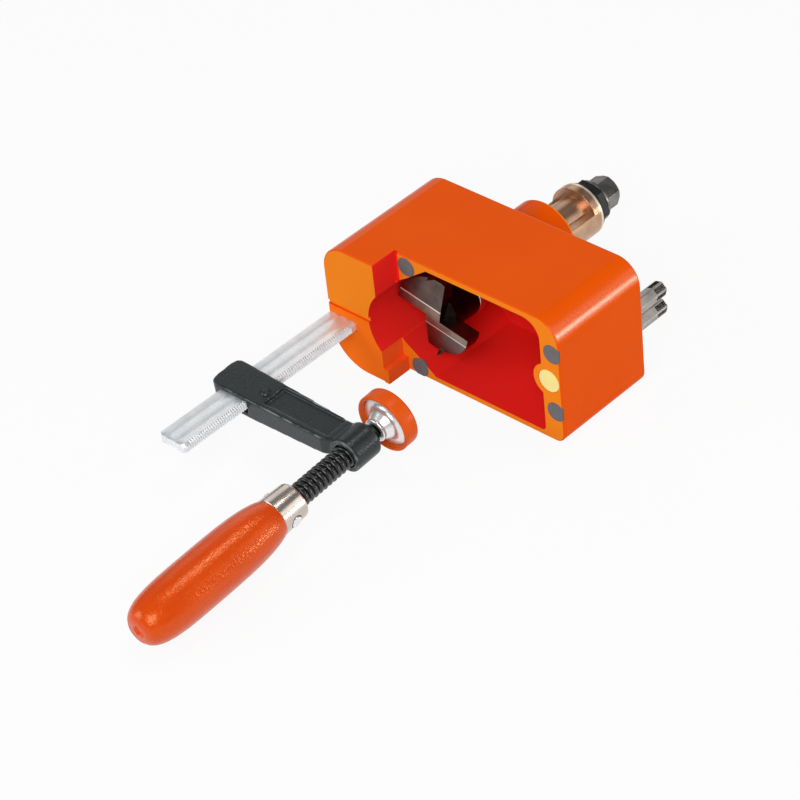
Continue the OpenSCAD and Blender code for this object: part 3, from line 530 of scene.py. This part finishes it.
def coat_on(face):
    """The coat on a face of the housing, by where the face lies and which way it looks."""
    middle = face.center / MM
    front = min(housing.data.vertices[v].co.y for v in face.vertices) / MM
    on_lip = front < RIM_Y - LIP_REACH and middle.z < LIP_Z
    # Faces that look forward get a paler coat: painted front light.
    if face.normal.y < -0.95 and middle.y < PLAY:
        # Below the slit the paler front coat is also redder: painted front light, toned for the lower face.
        return COAT_FRONT_LIT_LOW if near(middle.y, BLOCK_Y) and middle.z < SLIT_Z else COAT_FRONT_LIT
    if CHAMBER_X[0] < middle.x < CHAMBER_X[1] and abs(middle.z) < CHAMBER_Z and middle.y < CHAMBER_Y:
        # The lip's faces in shade get the paler coat: painted light.
        if on_lip:
            return COAT_LIP_LIT
        # Faces inside the chamber get the deep red: painted bounce light and shade.
        in_chamber = middle.y > 0 or middle.x > STOP_X or abs(middle.z) < SWARF_R
        return COAT_CHAMBER_SHADE if in_chamber else COAT
    # The lip's faces in shade get the paler coat: painted light.
    if on_lip and face.normal.x > 0.5:
        return COAT_LIP_LIT
    tilted = CORNER_TILT[0] < face.normal.z < CORNER_TILT[1]
    if tilted and middle.z > CORNER_Z and middle.y < BACK_Y:
        return COAT_RUN if face.normal.x > 0 else COAT_CORNER
    return COAT


def in_a_pocket(point):
    """Whether a point of the rim lies on the pocket of a pad or of the sighting disc."""
    for node in POCKETS:
        low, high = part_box(node)
        middle = (low + high) / 2 / MM
        if math.hypot(point.x - middle.x, point.z - middle.z) < POCKET_R:
            return True
    return False


def on_rim(a, b):
    """Whether the edge from a to b lies on the rim and on none of its pockets."""
    return near(a.y, RIM_Y) and near(b.y, RIM_Y) and not in_a_pocket(a) and not in_a_pocket(b)


def on_boss_end(a, b):
    """Whether the edge from a to b lies at the end of the boss."""
    return min(a.y, b.y) > BOSS_END_Y - BOSS_BAND


def on_block_or_lip(a, b):
    """Whether the edge from a to b lies on the front of the stop block or on the lip beside it."""
    on_front = near(a.y, BLOCK_Y) and near(b.y, BLOCK_Y)
    on_lip = max(a.x, b.x) < LIP_X and max(a.y, b.y) < RIM_Y + PLAY and max(a.z, b.z) < LIP_Z + LIP_BAND
    return min(a.x, b.x) > STOP_X - PLAY and (on_front or on_lip)


def at_chamber_back(a, b):
    """Whether the edge from a to b lies at the back of the chamber, right of the bit's round."""
    at_back = near(a.y, CHAMBER_BACK) and near(b.y, CHAMBER_BACK)
    return at_back and min(a.xz.length, b.xz.length) > SWARF_R - SWARF_BAND and min(a.x, b.x) > 0


for face in housing.data.polygons:
    face.material_index = HOUSING_COATS.index(coat_on(face))
# The eased edges take the paler coat, a painted edge highlight.
ease(housing, RIM_EASE, EDGE_STEPS, on_rim, COAT_EDGE_HIGHLIGHT)
ease(housing, BOSS_EASE, EDGE_STEPS, on_boss_end, COAT_EDGE_HIGHLIGHT)
ease(housing, BLOCK_EASE, EDGE_STEPS, on_block_or_lip, COAT_EDGE_HIGHLIGHT)
# The fillet at the chamber's back takes the same painted red.
ease(housing, CHAMBER_FILLET, FILLET_STEPS, at_chamber_back, COAT_CHAMBER_SHADE)
knit(housing, HOUSING_KNIT)
smooth(housing)
use(housing, "WEIGHTED_NORMAL", keep_sharp=True)
dress(housing, "frame", HOUSING_COATS, "orange_paint", "housing")

# Pads and the sighting disc in the rim.
PAD_EDGE = 0.35
DISC_EDGE = 0.5
for corner in ("upper_left", "lower_left", "upper_right", "lower_right"):
    pad = copied("pad_" + corner, "rubber_pad_" + corner)
    rounded(pad, PAD_EDGE)
    dress(pad, "frame", [GREY_RUBBER], "grey_rubber", "pad_" + corner)
disc = copied("sighting_disc", "sighting_button")
rounded(disc, DISC_EDGE)
dress(disc, "frame", [YELLOW_PLASTIC], "yellow_plastic", "sighting_disc")

# Guide sleeve with a near-white band at the end of its collar, a painted highlight, and its screw.
COLLAR_END_Y = 103.8
BAND_W = 1.8
SLEEVE_EDGE = 0.2
GUIDE_SCREW_EDGE = 0.15
SLEEVE_FINISHES = [BRONZE, BRONZE_HIGHLIGHT]
sleeve = copied("guide_sleeve", "bronze_sleeve")
give(sleeve, SLEEVE_FINISHES)
band_from = (COLLAR_END_Y - BAND_W) * MM
pick(sleeve)
bpy.ops.object.mode_set(mode="EDIT")
bpy.ops.mesh.select_all(action="SELECT")
bpy.ops.mesh.bisect(plane_co=(0, band_from, 0), plane_no=(0, 1, 0))
bpy.ops.object.mode_set(mode="OBJECT")
# The band's faces take the painted highlight.
for face in sleeve.data.polygons:
    on_band = face.normal.y < 0.9 and face.center.y > band_from
    face.material_index = SLEEVE_FINISHES.index(BRONZE_HIGHLIGHT if on_band else BRONZE)
rounded(sleeve, SLEEVE_EDGE)
dress(sleeve, "sleeve", SLEEVE_FINISHES, "bronze", "guide_sleeve")
guide_screw = copied("guide_screw", "dog_point_screw")
rounded(guide_screw, GUIDE_SCREW_EDGE)
dress(guide_screw, "frame", [BLACK_OXIDE], "dark_steel", "guide_screw")

# Boring bit: dark ground wings, each with a paler land that ends in a near-white line, painted light and a
# painted highlight, and a hub and flanks painted near black as shade.
HUB_R = 9.5
LAND_TILT = 6
LAND_W = 4.4
LINE_W = 0.6
SPUR_FROM = 17.5
SPUR_Y = 5.6
SPUR_TIP_Y = 3.2
BIT_EDGE = 0.15
BIT_FINISHES = [TOOL_STEEL, LAND_STEEL_LIT, HUB_STEEL_SHADE, EDGE_STEEL_HIGHLIGHT]
bit = copied("boring_bit", "two_wing_bit")
give(bit, BIT_FINISHES)


def tilt(face):
    """The degrees by which a face turns away from the work."""
    return math.degrees(math.acos(min(1, -face.normal.y)))


def finish_on_bit(face):
    """The finish on a face of the bit, by how far it lies behind the cutting edge and where it looks."""
    behind = abs(face.center.dot(backwards)) / MM
    corners = [bit.data.vertices[v].co for v in face.vertices]
    on_hub = max(math.hypot(c.x, c.z) for c in corners) < HUB_R * MM
    on_flank = abs(face.normal.y) < 0.5 and abs(face.normal.dot(backwards)) < 0.4
    at_work = face.normal.y < -0.9
    # The hub and the flanks are painted near black: painted shade.
    if on_hub or on_flank:
        return HUB_STEEL_SHADE
    # The land is painted paler, as a lit face.
    if at_work and behind < LAND_W:
        return LAND_STEEL_LIT
    # The near-white line behind the land: painted highlight.
    if at_work and behind < LAND_W + LINE_W:
        return EDGE_STEEL_HIGHLIGHT
    return TOOL_STEEL


# The direction that runs straight back from the cutting edge, which the land leans towards.
backwards = next(f.normal.copy() for f in bit.data.polygons if abs(tilt(f) - LAND_TILT) < FLAT)
backwards.y = 0
backwards.normalize()
pick(bit)
bpy.ops.object.mode_set(mode="EDIT")
for reach in (LAND_W, LAND_W + LINE_W, -LAND_W, -LAND_W - LINE_W):
    bpy.ops.mesh.select_all(action="SELECT")
    bpy.ops.mesh.bisect(plane_co=backwards * reach * MM, plane_no=backwards)
bpy.ops.mesh.select_mode(type="VERT")
# Each spur is drawn together to a point that stands out of the wings.
for half_turn in (-1, 1):
    bpy.ops.mesh.select_all(action="DESELECT")
    form = bmesh.from_edit_mesh(bit.data)
    for vertex in form.verts:
        spot = vertex.co / MM
        behind = spot.dot(backwards) * half_turn
        vertex.select_set(behind > SPUR_FROM and spot.y < SPUR_Y)
    form.select_flush(True)
    bmesh.update_edit_mesh(bit.data)
    bpy.ops.mesh.merge(type="CENTER")
    form = bmesh.from_edit_mesh(bit.data)
    for vertex in form.verts:
        if vertex.select:
            vertex.co.y = SPUR_TIP_Y * MM
    bmesh.update_edit_mesh(bit.data)
bpy.ops.object.mode_set(mode="OBJECT")
for face in bit.data.polygons:
    face.material_index = BIT_FINISHES.index(finish_on_bit(face))
rounded(bit, BIT_EDGE)
dress(bit, "drill", BIT_FINISHES, "tool_steel", "boring_bit")

# Boring spindle: each piece with its node, its edge radius, its finish and its slot.
SPINDLE_PIECES = [
    ("hub_ring", "hub_collar", 0.2, BRIGHT_STEEL, "bright_steel"),
    ("keeper_ring", "front_keeper", 0.15, BLACK_OXIDE, "dark_steel"),
    ("rear_washer", "thrust_washer", 0.2, BLACK_OXIDE, "dark_steel"),
    ("lock_nut", "hexagon_nut", 0.3, BLACK_OXIDE, "dark_steel"),
    ("drive_hex", "hexagon_drive", 0.35, DRIVE_STEEL, "dark_steel"),
]
for node, name, width, finish, slot in SPINDLE_PIECES:
    piece = copied(node, name)
    rounded(piece, width)
    dress(piece, "drill", [finish], slot, node)

# Driver bits stored in the right end, with only their sharpest edges rounded.
DRIVER_EDGE = 0.12
DRIVER_SHARP = 40
for level in ("upper", "lower"):
    rod = copied("driver_bit_" + level, "six_lobe_bit_" + level)
    rounded(rod, DRIVER_EDGE, DRIVER_SHARP)
    dress(rod, "spare_bit_" + level, [DRIVER_STEEL], "driver_steel", "driver_bit_" + level)

# Clamp bar: one tooth's length modelled, repeated along the bar, and its two ends drawn out.
BAR_W = 15
BAR_T = 5
BAR_X = -37
BAR_Z = -7.6
BAR_TIP_Y = -116.5
BAR_ROOT_Y = 20
BAR_TEETH = 78
BAR_TOOTH = 1.25
BAR_TOOTH_D = 0.7
BAR_TOOTH_START = 3
BAR_TIP_EDGE = 0.9
BAR_GROOVE_X = 3
BAR_GROOVE_HALF = 1.9
BAR_GROOVE_D = 0.4
BAR_GROOVE_CUTS = (-1, -0.5, 0, 0.5, 1)
BAR_SLOPE_W = 1.5
BAR_SLOPE_D = 1.1
BAR_SMOOTH = 25
bpy.ops.object.select_all(action="DESELECT")
bpy.ops.mesh.primitive_cube_add(size=1)
bar = bpy.context.object
bar.name = "toothed_bar"
bar.scale = (BAR_W * MM, BAR_TOOTH * MM, BAR_T * MM)
bpy.ops.object.transform_apply(scale=True)
bpy.ops.object.mode_set(mode="EDIT")
cuts = [half * BAR_GROOVE_X + step * BAR_GROOVE_HALF for half in (-1, 1) for step in BAR_GROOVE_CUTS]
cuts.append(BAR_W / 2 - BAR_SLOPE_W)
for x in cuts:
    bpy.ops.mesh.select_all(action="SELECT")
    bpy.ops.mesh.bisect(plane_co=(x * MM, 0, 0), plane_no=(1, 0, 0))
bpy.ops.mesh.select_all(action="SELECT")
bpy.ops.mesh.bisect(plane_co=(0, 0, 0), plane_no=(0, 1, 0))
form = bmesh.from_edit_mesh(bar.data)
for vertex in form.verts:
    spot = vertex.co / MM
    reach = (abs(spot.x) - BAR_GROOVE_X) / BAR_GROOVE_HALF
    if abs(reach) < 0.99:
        vertex.co.z -= math.copysign(BAR_GROOVE_D * (1 + math.cos(math.pi * reach)) / 2 * MM, spot.z)
    if near(spot.x, BAR_W / 2):
        vertex.co.z -= math.copysign(BAR_SLOPE_D * MM, spot.z)
    if near(spot.x, BAR_W / 2) and near(spot.y, 0):
        vertex.co.x -= BAR_TOOTH_D * MM
bmesh.ops.delete(form, geom=[f for f in form.faces if abs(f.normal.y) > 0.9], context="FACES")
bmesh.update_edit_mesh(bar.data)
bpy.ops.object.mode_set(mode="OBJECT")
use(bar, "ARRAY", count=BAR_TEETH, use_relative_offset=False, use_constant_offset=True,
    constant_offset_displace=(0, BAR_TOOTH * MM, 0), use_merge_vertices=True, merge_threshold=SAME * MM)
first = BAR_TIP_Y + BAR_TOOTH_START + BAR_TOOTH / 2
place(bar, Matrix.Translation((BAR_X * MM, first * MM, BAR_Z * MM)))
teeth_end = BAR_TIP_Y + BAR_TOOTH_START + BAR_TEETH * BAR_TOOTH
tip_grow = ((BAR_W - 2 * BAR_TIP_EDGE) / BAR_W, 1, (BAR_T - BAR_TIP_EDGE) / BAR_T)
bar_ends = [
    (BAR_TIP_Y + BAR_TOOTH_START, [(BAR_TIP_Y + BAR_TIP_EDGE, (1, 1, 1)), (BAR_TIP_Y, tip_grow)]),
    (teeth_end, [(BAR_ROOT_Y, (1, 1, 1))]),
]
for at_y, draws in bar_ends:
    pick(bar)
    bpy.ops.object.mode_set(mode="EDIT")
    bpy.ops.mesh.select_mode(type="VERT")
    bpy.ops.mesh.select_all(action="DESELECT")
    form = bmesh.from_edit_mesh(bar.data)
    for vertex in form.verts:
        vertex.select_set(near(vertex.co.y / MM, at_y))
    form.select_flush(True)
    bmesh.update_edit_mesh(bar.data)
    last = at_y
    for y, grow in draws:
        bpy.ops.mesh.extrude_edges_move(TRANSFORM_OT_translate={"value": (0, (y - last) * MM, 0)})
        bpy.ops.transform.resize(value=grow, center_override=(BAR_X * MM, y * MM, BAR_Z * MM))
        last = y
    bpy.ops.mesh.edge_face_add()
    bpy.ops.mesh.select_all(action="SELECT")
    bpy.ops.mesh.normals_make_consistent(inside=False)
    bpy.ops.object.mode_set(mode="OBJECT")
smooth(bar, BAR_SMOOTH)
dress(bar, "frame", [ZINC_BAR], "zinc_bar", "clamp_bar")

# Sliding arm: the casting's edges melted round by remeshing fine and smoothing.
ARM_VOXEL = 0.4
ARM_PASSES = 14
WEAR_SHEEN_PASSES = 3
RIVET_EDGE = 0.4
arm = copied("sliding_arm", "cast_arm")
use(arm, "REMESH", mode="VOXEL", voxel_size=ARM_VOXEL * MM)
use(arm, "SMOOTH", factor=0.5, iterations=ARM_PASSES)
# The points that stand out are painted pale: rubbed paint and a painted edge highlight.
mark_wear_and_sheen(arm, WEAR_SHEEN_PASSES)
pick(arm)
bpy.ops.object.shade_smooth()
dress(arm, "arm", [BLACK_CASTING], "black_casting", "sliding_arm")
rivet = copied("arm_rivet", "stop_rivet")
rounded(rivet, RIVET_EDGE)
dress(rivet, "arm", [BLACK_CASTING], "black_casting", "arm_rivet")

# The clamp's line as a frame: Z along the screw towards the work, X as the housing's.
line = Vector(SCREW["axis"]).normalized()
side = Vector((1, 0, 0))
CLAMP = Matrix((side, line.cross(side), line)).transposed().to_4x4()
CLAMP.translation = Vector(SCREW["pos_m"])

# Handle: two joined superellipses with a dimple in the free end and a tenon for the ferrule.
HANDLE_LEN = 75.8
HANDLE_BELLY = 33
HANDLE_NOSE = 0.8
HANDLE_SHOULDER = 5
HANDLE_POWER = 3.5
HANDLE_RINGS = 56
HANDLE_SMOOTH = 40
DIMPLE_R = 2.8
DIMPLE_DEPTH = 0.9
DIMPLE_EDGE = 0.3
DIMPLE_SIDE = 1
TENON_GAP = 1.6


def handle_radius(t):
    """The handle's radius at a distance t from its free end."""
    half = HANDLE_BELLY + HANDLE_NOSE if t < HANDLE_BELLY else HANDLE_LEN - HANDLE_BELLY + HANDLE_SHOULDER
    share = abs(t - HANDLE_BELLY) / half
    return HANDLE_R * (1 - share ** HANDLE_POWER) ** (1 / HANDLE_POWER)


free_end = FERRULE_FROM - HANDLE_LEN
handle_rings = [
    (free_end + DIMPLE_DEPTH, DIMPLE_R - DIMPLE_SIDE),
    (free_end + DIMPLE_EDGE, DIMPLE_R - DIMPLE_EDGE),
    (free_end, DIMPLE_R),
]
handle_rings += [(free_end + HANDLE_LEN * i / HANDLE_RINGS, handle_radius(HANDLE_LEN * i / HANDLE_RINGS))
                 for i in range(HANDLE_RINGS + 1)]
handle_rings += [(FERRULE_FROM, TENON_R), (FERRULE_TO - TENON_GAP, TENON_R)]
handle = turned("turned_handle", handle_rings)
place(handle, CLAMP)
smooth(handle, HANDLE_SMOOTH)
dress(handle, "screw", [LACQUER], "orange_lacquer", "handle")

# Ferrule: a tube with a rounded front, drilled across for its pin.
FERRULE_R = 8.8
FERRULE_ROUND = 1.3
FERRULE_EDGE = 0.2
FERRULE_END = 1.5
CROSS_PIN_AT = -45.2
CROSS_PIN_R = 2.6
CROSS_PIN_REACH = 9.5
CROSS_PIN_TURN = -14
PIN_GAP = 0.4
PIN_SIDES = 48
bore = TENON_R + FIT
hole = THREAD_ROOT_R + FIT
ferrule_rings = [
    (FERRULE_FROM, bore),
    (FERRULE_FROM, FERRULE_R - FERRULE_EDGE),
    (FERRULE_FROM + FERRULE_EDGE, FERRULE_R),
]
ferrule_rings += arc(FERRULE_TO - FERRULE_ROUND, FERRULE_FRONT_R - FERRULE_ROUND, FERRULE_ROUND, 90, 0)
ferrule_rings += [
    (FERRULE_TO, hole),
    (FERRULE_TO - FERRULE_END, hole),
    (FERRULE_TO - FERRULE_END, bore),
    (FERRULE_FROM, bore),
]
ferrule = turned("tube_ferrule", ferrule_rings, hollow=True)
pin_spot = Matrix.Translation((0, 0, CROSS_PIN_AT * MM))
pin_turn = Matrix.Rotation(math.radians(-CROSS_PIN_TURN), 4, "Z")
pin_place = CLAMP @ (pin_spot @ pin_turn) @ Matrix.Rotation(math.radians(90), 4, "Y")
drill_r = CROSS_PIN_R + PIN_GAP
drill = turned("pin_drill", [(-HANDLE_R, drill_r), (HANDLE_R, drill_r)], PIN_SIDES)
place(drill, pin_place)
place(ferrule, CLAMP)
use(ferrule, "BOOLEAN", operation="DIFFERENCE", object=drill, solver="EXACT")
bpy.data.objects.remove(drill)
smooth(ferrule)
dress(ferrule, "screw", [NICKEL], "nickel", "ferrule")

# Cross pin with domed ends. The dome stops a few degrees short of its middle.
PIN_DOME = 0.8
PIN_DOME_END = 4
dome_r = (CROSS_PIN_R ** 2 + PIN_DOME ** 2) / (2 * PIN_DOME)
dome_turn = math.degrees(math.asin(CROSS_PIN_R / dome_r))
dome = arc(CROSS_PIN_REACH - dome_r, 0, dome_r, dome_turn, PIN_DOME_END)
far_dome = [(-station, radius) for station, radius in reversed(dome)]
pin = turned("domed_cross_pin", far_dome + dome, PIN_SIDES)
place(pin, pin_place)
smooth(pin)
dress(pin, "screw", [ZINC_PLATE], "nickel", "ferrule_pin")

# Clamp screw: one tooth of the thread run up the helix, cut to a turned blank and set on its shank.
THREAD_STEPS = 48
SHANK_TO = -70
SHANK_SIDES = 64
BALL_NECK_R = 2.5
BALL_NECK_TO = 14
SCREW_KNIT = 0.02
SCREW_SMOOTH = 40
# Half a tooth. Its foot: the rise over the root and the distance from the tooth's edge.
TOOTH_FOOT = [(0, 0), (0, 0.24), (0.25, 0.38)]
# Its crest: the drop from the crest and the distance from the tooth's middle.
TOOTH_CREST = [(0.42, 0.84), (0.16, 0.64), (0.04, 0.36), (0, 0.1)]
# The blank stays clear of the thread up to the lead at its front end, and the core ends in the ball's neck.
BLANK_CLEAR = 1
LEAD_LEN = 1.2
LEAD_DEPTH = 1
CONE_FROM = 0.8
CONE_TO = 0.2
BLANK_RINGS = [
    (THREAD_FROM, SCREW_R + BLANK_CLEAR),
    (THREAD_TO - LEAD_LEN, SCREW_R + PLAY),
    (THREAD_TO, SCREW_R - LEAD_DEPTH),
]
CORE_RINGS = [
    (SHANK_TO, THREAD_ROOT_R - FIT),
    (THREAD_TO - CONE_FROM, THREAD_ROOT_R - FIT),
    (THREAD_TO - CONE_TO, BALL_NECK_R),
    (BALL_NECK_TO, BALL_NECK_R),
]
bpy.ops.object.select_all(action="DESELECT")
bpy.ops.mesh.primitive_plane_add(size=MM)
screw = bpy.context.object
screw.name = "rolled_screw"
bpy.ops.object.mode_set(mode="EDIT")
bpy.ops.mesh.select_all(action="SELECT")
bpy.ops.mesh.merge(type="CENTER")
tooth = [(THREAD_ROOT_R + rise, along - SCREW_PITCH / 2) for rise, along in TOOTH_FOOT]
tooth += [(SCREW_R - drop, -along) for drop, along in TOOTH_CREST]
tooth += [(radius, -along) for radius, along in reversed(tooth)]
bottom = THREAD_FROM - SCREW_PITCH
bpy.ops.transform.translate(value=(tooth[0][0] * MM, 0, (bottom + tooth[0][1]) * MM))
for (radius, along), (next_radius, next_along) in zip(tooth, tooth[1:]):
    step = ((next_radius - radius) * MM, 0, (next_along - along) * MM)
    bpy.ops.mesh.extrude_vertices_move(TRANSFORM_OT_translate={"value": step})
bpy.ops.object.mode_set(mode="OBJECT")
turns = math.ceil((THREAD_TO - THREAD_FROM) / SCREW_PITCH) + 2
use(screw, "SCREW", axis="Z", angle=math.tau, screw_offset=SCREW_PITCH * MM, iterations=turns,
    steps=THREAD_STEPS, render_steps=THREAD_STEPS, use_merge_vertices=True, merge_threshold=MERGE * MM)
pick(screw)
bpy.ops.object.mode_set(mode="EDIT")
bpy.ops.mesh.select_all(action="SELECT")
bpy.ops.mesh.remove_doubles(threshold=2 * MERGE * MM)
bpy.ops.mesh.select_all(action="DESELECT")
bpy.ops.mesh.select_non_manifold()
bpy.ops.mesh.fill()
bpy.ops.mesh.select_all(action="SELECT")
bpy.ops.mesh.normals_make_consistent(inside=False)
bpy.ops.object.mode_set(mode="OBJECT")
blank = turned("screw_blank", BLANK_RINGS)
use(screw, "BOOLEAN", operation="INTERSECT", object=blank, solver="EXACT")
core = turned("screw_core", CORE_RINGS, SHANK_SIDES)
use(screw, "BOOLEAN", operation="UNION", object=core, solver="EXACT")
for helper in (blank, core):
    bpy.data.objects.remove(helper)
knit(screw, SCREW_KNIT)
place(screw, CLAMP)
smooth(screw, SCREW_SMOOTH)
dress(screw, "screw", [BLACK_SCREW], "black_screw", "clamp_screw")

# Pressure plate: a neck that flares like a bell into the dish.
PLATE_NECK_FROM = 10.8
PLATE_NECK_R = 5.4
PLATE_FOOT_R = 7.4
NECK_BORE = 3.5
NECK_EDGE = 0.4
NECK_ROUND = 0.7
# The flare: distances from the neck's end, and how far the wall stands out of the neck there.
NECK_FLARE = [(1.8, -0.25), (2.6, 0.3), (3.4, 0.8)]
BELL_ROUND = 2.2
BELL_RUN = 0.4
BELL_RISE = 0.5
BELL_SINK = 0.3
DISH_FROM = 17.7
DISH_R = 11.75
DISH_ROUND = 0.4
plate_rings = [(PLATE_NECK_FROM + NECK_EDGE, NECK_BORE), (PLATE_NECK_FROM, NECK_BORE + NECK_EDGE)]
plate_rings += arc(PLATE_NECK_FROM + NECK_ROUND, PLATE_NECK_R - NECK_ROUND, NECK_ROUND, 180, 90)
plate_rings += [(PLATE_NECK_FROM + along, PLATE_NECK_R + out) for along, out in NECK_FLARE]
plate_rings.append((DISH_FROM - BELL_ROUND - BELL_RUN, PLATE_FOOT_R - BELL_RISE))
plate_rings += arc(DISH_FROM - BELL_ROUND, PLATE_FOOT_R - BELL_SINK + BELL_ROUND, BELL_ROUND, -90, 0)
plate_rings += arc(DISH_FROM + DISH_ROUND, DISH_R - DISH_ROUND, DISH_ROUND, 180, 90)
plate_rings += [(DISH_TO, DISH_R), (DISH_TO, NECK_BORE), (PLATE_NECK_FROM + NECK_EDGE, NECK_BORE)]
plate = turned("bell_plate", plate_rings, hollow=True)
place(plate, CLAMP)
smooth(plate)
dress(plate, "plate", [ZINC_PLATE], "zinc_plate", "pressure_plate")

# Cap on the plate: its wall reaches back round the dish.
CAP_FROM = 15.4
CAP_TO = 23.2
CAP_R = 13.6
CAP_WALL = 1.8
CAP_MIDDLE_R = 2
CAP_ROUND = 0.8
CAP_FACE_ROUND = 1.4
cap_rings = [(DISH_TO, CAP_MIDDLE_R), (DISH_TO, CAP_R - CAP_WALL)]
cap_rings += arc(CAP_FROM + CAP_ROUND, CAP_R - CAP_WALL + CAP_ROUND, CAP_ROUND, -90, -180)
cap_rings += arc(CAP_FROM + CAP_ROUND, CAP_R - CAP_ROUND, CAP_ROUND, 180, 90)
cap_rings += arc(CAP_TO - CAP_FACE_ROUND, CAP_R - CAP_FACE_ROUND, CAP_FACE_ROUND, 90, 0)
cap_rings.append((CAP_TO, CAP_MIDDLE_R))
cap = turned("soft_cap", cap_rings)
place(cap, CLAMP)
smooth(cap)
dress(cap, "plate", [ORANGE_PLASTIC], "orange_plastic", "plate_cap")

# Pieces that stay as built, with their finish.
KEPT = {"spindle": TOOL_STEEL, "bar_pins": BRIGHT_STEEL, "ball_end": BRIGHT_STEEL}
for node, finish in KEPT.items():
    give(frame["nodes"][node], [finish])

# The stage: a white floor that keeps a soft shadow, because it glows a little less than fully.
FLOOR_SIZE = 6000
FLOOR_DROP = 0.2
FLOOR_GLOW = 0.92
floor_z = cad_box[0].z - FLOOR_DROP * MM
bpy.ops.object.select_all(action="DESELECT")
bpy.ops.mesh.primitive_plane_add(size=FLOOR_SIZE * MM, location=(0, 0, floor_z))
floor = bpy.context.object
floor.name = "floor"
paper, tree = surface("white_paper_floor")[:2]
seen = add(tree, "ShaderNodeLightPath")
glow = add(tree, "ShaderNodeEmission", {"Color": (1, 1, 1, 1), "Strength": 1})
diffuse = add(tree, "ShaderNodeBsdfDiffuse", {"Color": linear("#E4E4E4")})
mirrored = add(tree, "ShaderNodeMath",
               {0: seen.outputs["Is Camera Ray"], 1: seen.outputs["Is Glossy Ray"]}, operation="MAXIMUM")
shown = add(tree, "ShaderNodeMath",
            {0: mirrored.outputs[0], 1: seen.outputs["Is Transmission Ray"]}, operation="MAXIMUM")
blend = add(tree, "ShaderNodeMath", {0: shown.outputs[0], 1: FLOOR_GLOW}, operation="MULTIPLY")
lit = add(tree, "ShaderNodeMixShader", {0: blend.outputs[0], 1: diffuse.outputs[0], 2: glow.outputs[0]})
tree.links.new(lit.outputs[0], tree.nodes["Material Output"].inputs["Surface"])
floor.data.materials.append(paper)

# Soft studio light: most of it from the front right, a weak cool key low on the front left, a small warm
# lamp overhead, a strip and a panel off the right end, and a panel behind on the left for the bar.
# Each lamp has its place, width and height in metres, its watts and its colour.
LAMPS = [
    ("key", (-0.75, -1.1, 0.62), 0.7, 0.7, 5.5, (0.95, 1, 1)),
    ("fill", (0.75, -1.1, 1), 0.9, 0.9, 16, (1, 1, 1)),
    ("overhead", (0.1, 0.24, 1.1), 0.16, 0.32, 2.4, (1, 0.97, 0.94)),
    ("strip", (0.95, 0.62, 0.11), 0.2, 0.18, 2.3, (1, 1, 1)),
    ("side_panel", (0.85, 0.56, 0.55), 0.5, 0.4, 1, (1, 1, 1)),
    ("bar_panel", (-0.88, 0.7, 0.58), 0.8, 0.8, 1.8, (1, 1, 1)),
]
LAMPS_AIM = Vector((0, -0.02, 0))
WORLD_LIGHT = 0.18
for name, spot, width, height, power, tint in LAMPS:
    lamp = bpy.data.lights.new(name, "AREA")
    lamp.shape = "RECTANGLE"
    lamp.size = width
    lamp.size_y = height
    lamp.energy = power
    lamp.color = tint
    holder = bpy.data.objects.new(name, lamp)
    holder.location = spot
    holder.rotation_euler = (LAMPS_AIM - Vector(spot)).to_track_quat("-Z", "Y").to_euler()
    bpy.context.scene.collection.objects.link(holder)

world = bpy.data.worlds.new("studio")
bpy.context.scene.world = world
world.use_nodes = True
background = world.node_tree.nodes["Background"]
background.inputs["Color"].default_value = (1, 1, 1, 1)
background.inputs["Strength"].default_value = WORLD_LIGHT

# The camera at the photograph's view, rolled as the photograph is.
azimuth = math.radians(VIEW_AZIMUTH)
elevation = math.radians(VIEW_ELEVATION)
roll = math.radians(VIEW_ROLL)
back = Vector((
    math.sin(azimuth) * math.cos(elevation),
    -math.cos(azimuth) * math.cos(elevation),
    math.sin(elevation),
))
level_right = Vector((math.cos(azimuth), math.sin(azimuth), 0))
level_up = back.cross(level_right)
right = math.cos(roll) * level_right + math.sin(roll) * level_up
up = math.cos(roll) * level_up - math.sin(roll) * level_right
middle = PHOTO_SIZE / 2
shift_x = (DRILL_POINT_PIXEL[0] - middle) / FOCAL_PIXELS
shift_y = (middle - DRILL_POINT_PIXEL[1]) / FOCAL_PIXELS
eye = (back - right * shift_x - up * shift_y) * VIEW_DISTANCE * MM
camera_data = bpy.data.cameras.new("photo_camera")
camera_data.sensor_width = SENSOR
camera_data.lens = FOCAL_PIXELS / PHOTO_SIZE * SENSOR
camera = bpy.data.objects.new("photo_camera", camera_data)
camera.matrix_world = Matrix.Translation(eye) @ Matrix((right, up, back)).transposed().to_4x4()
bpy.context.scene.collection.objects.link(camera)
bpy.context.scene.camera = camera

bpy.context.scene.view_settings.view_transform = "Standard"
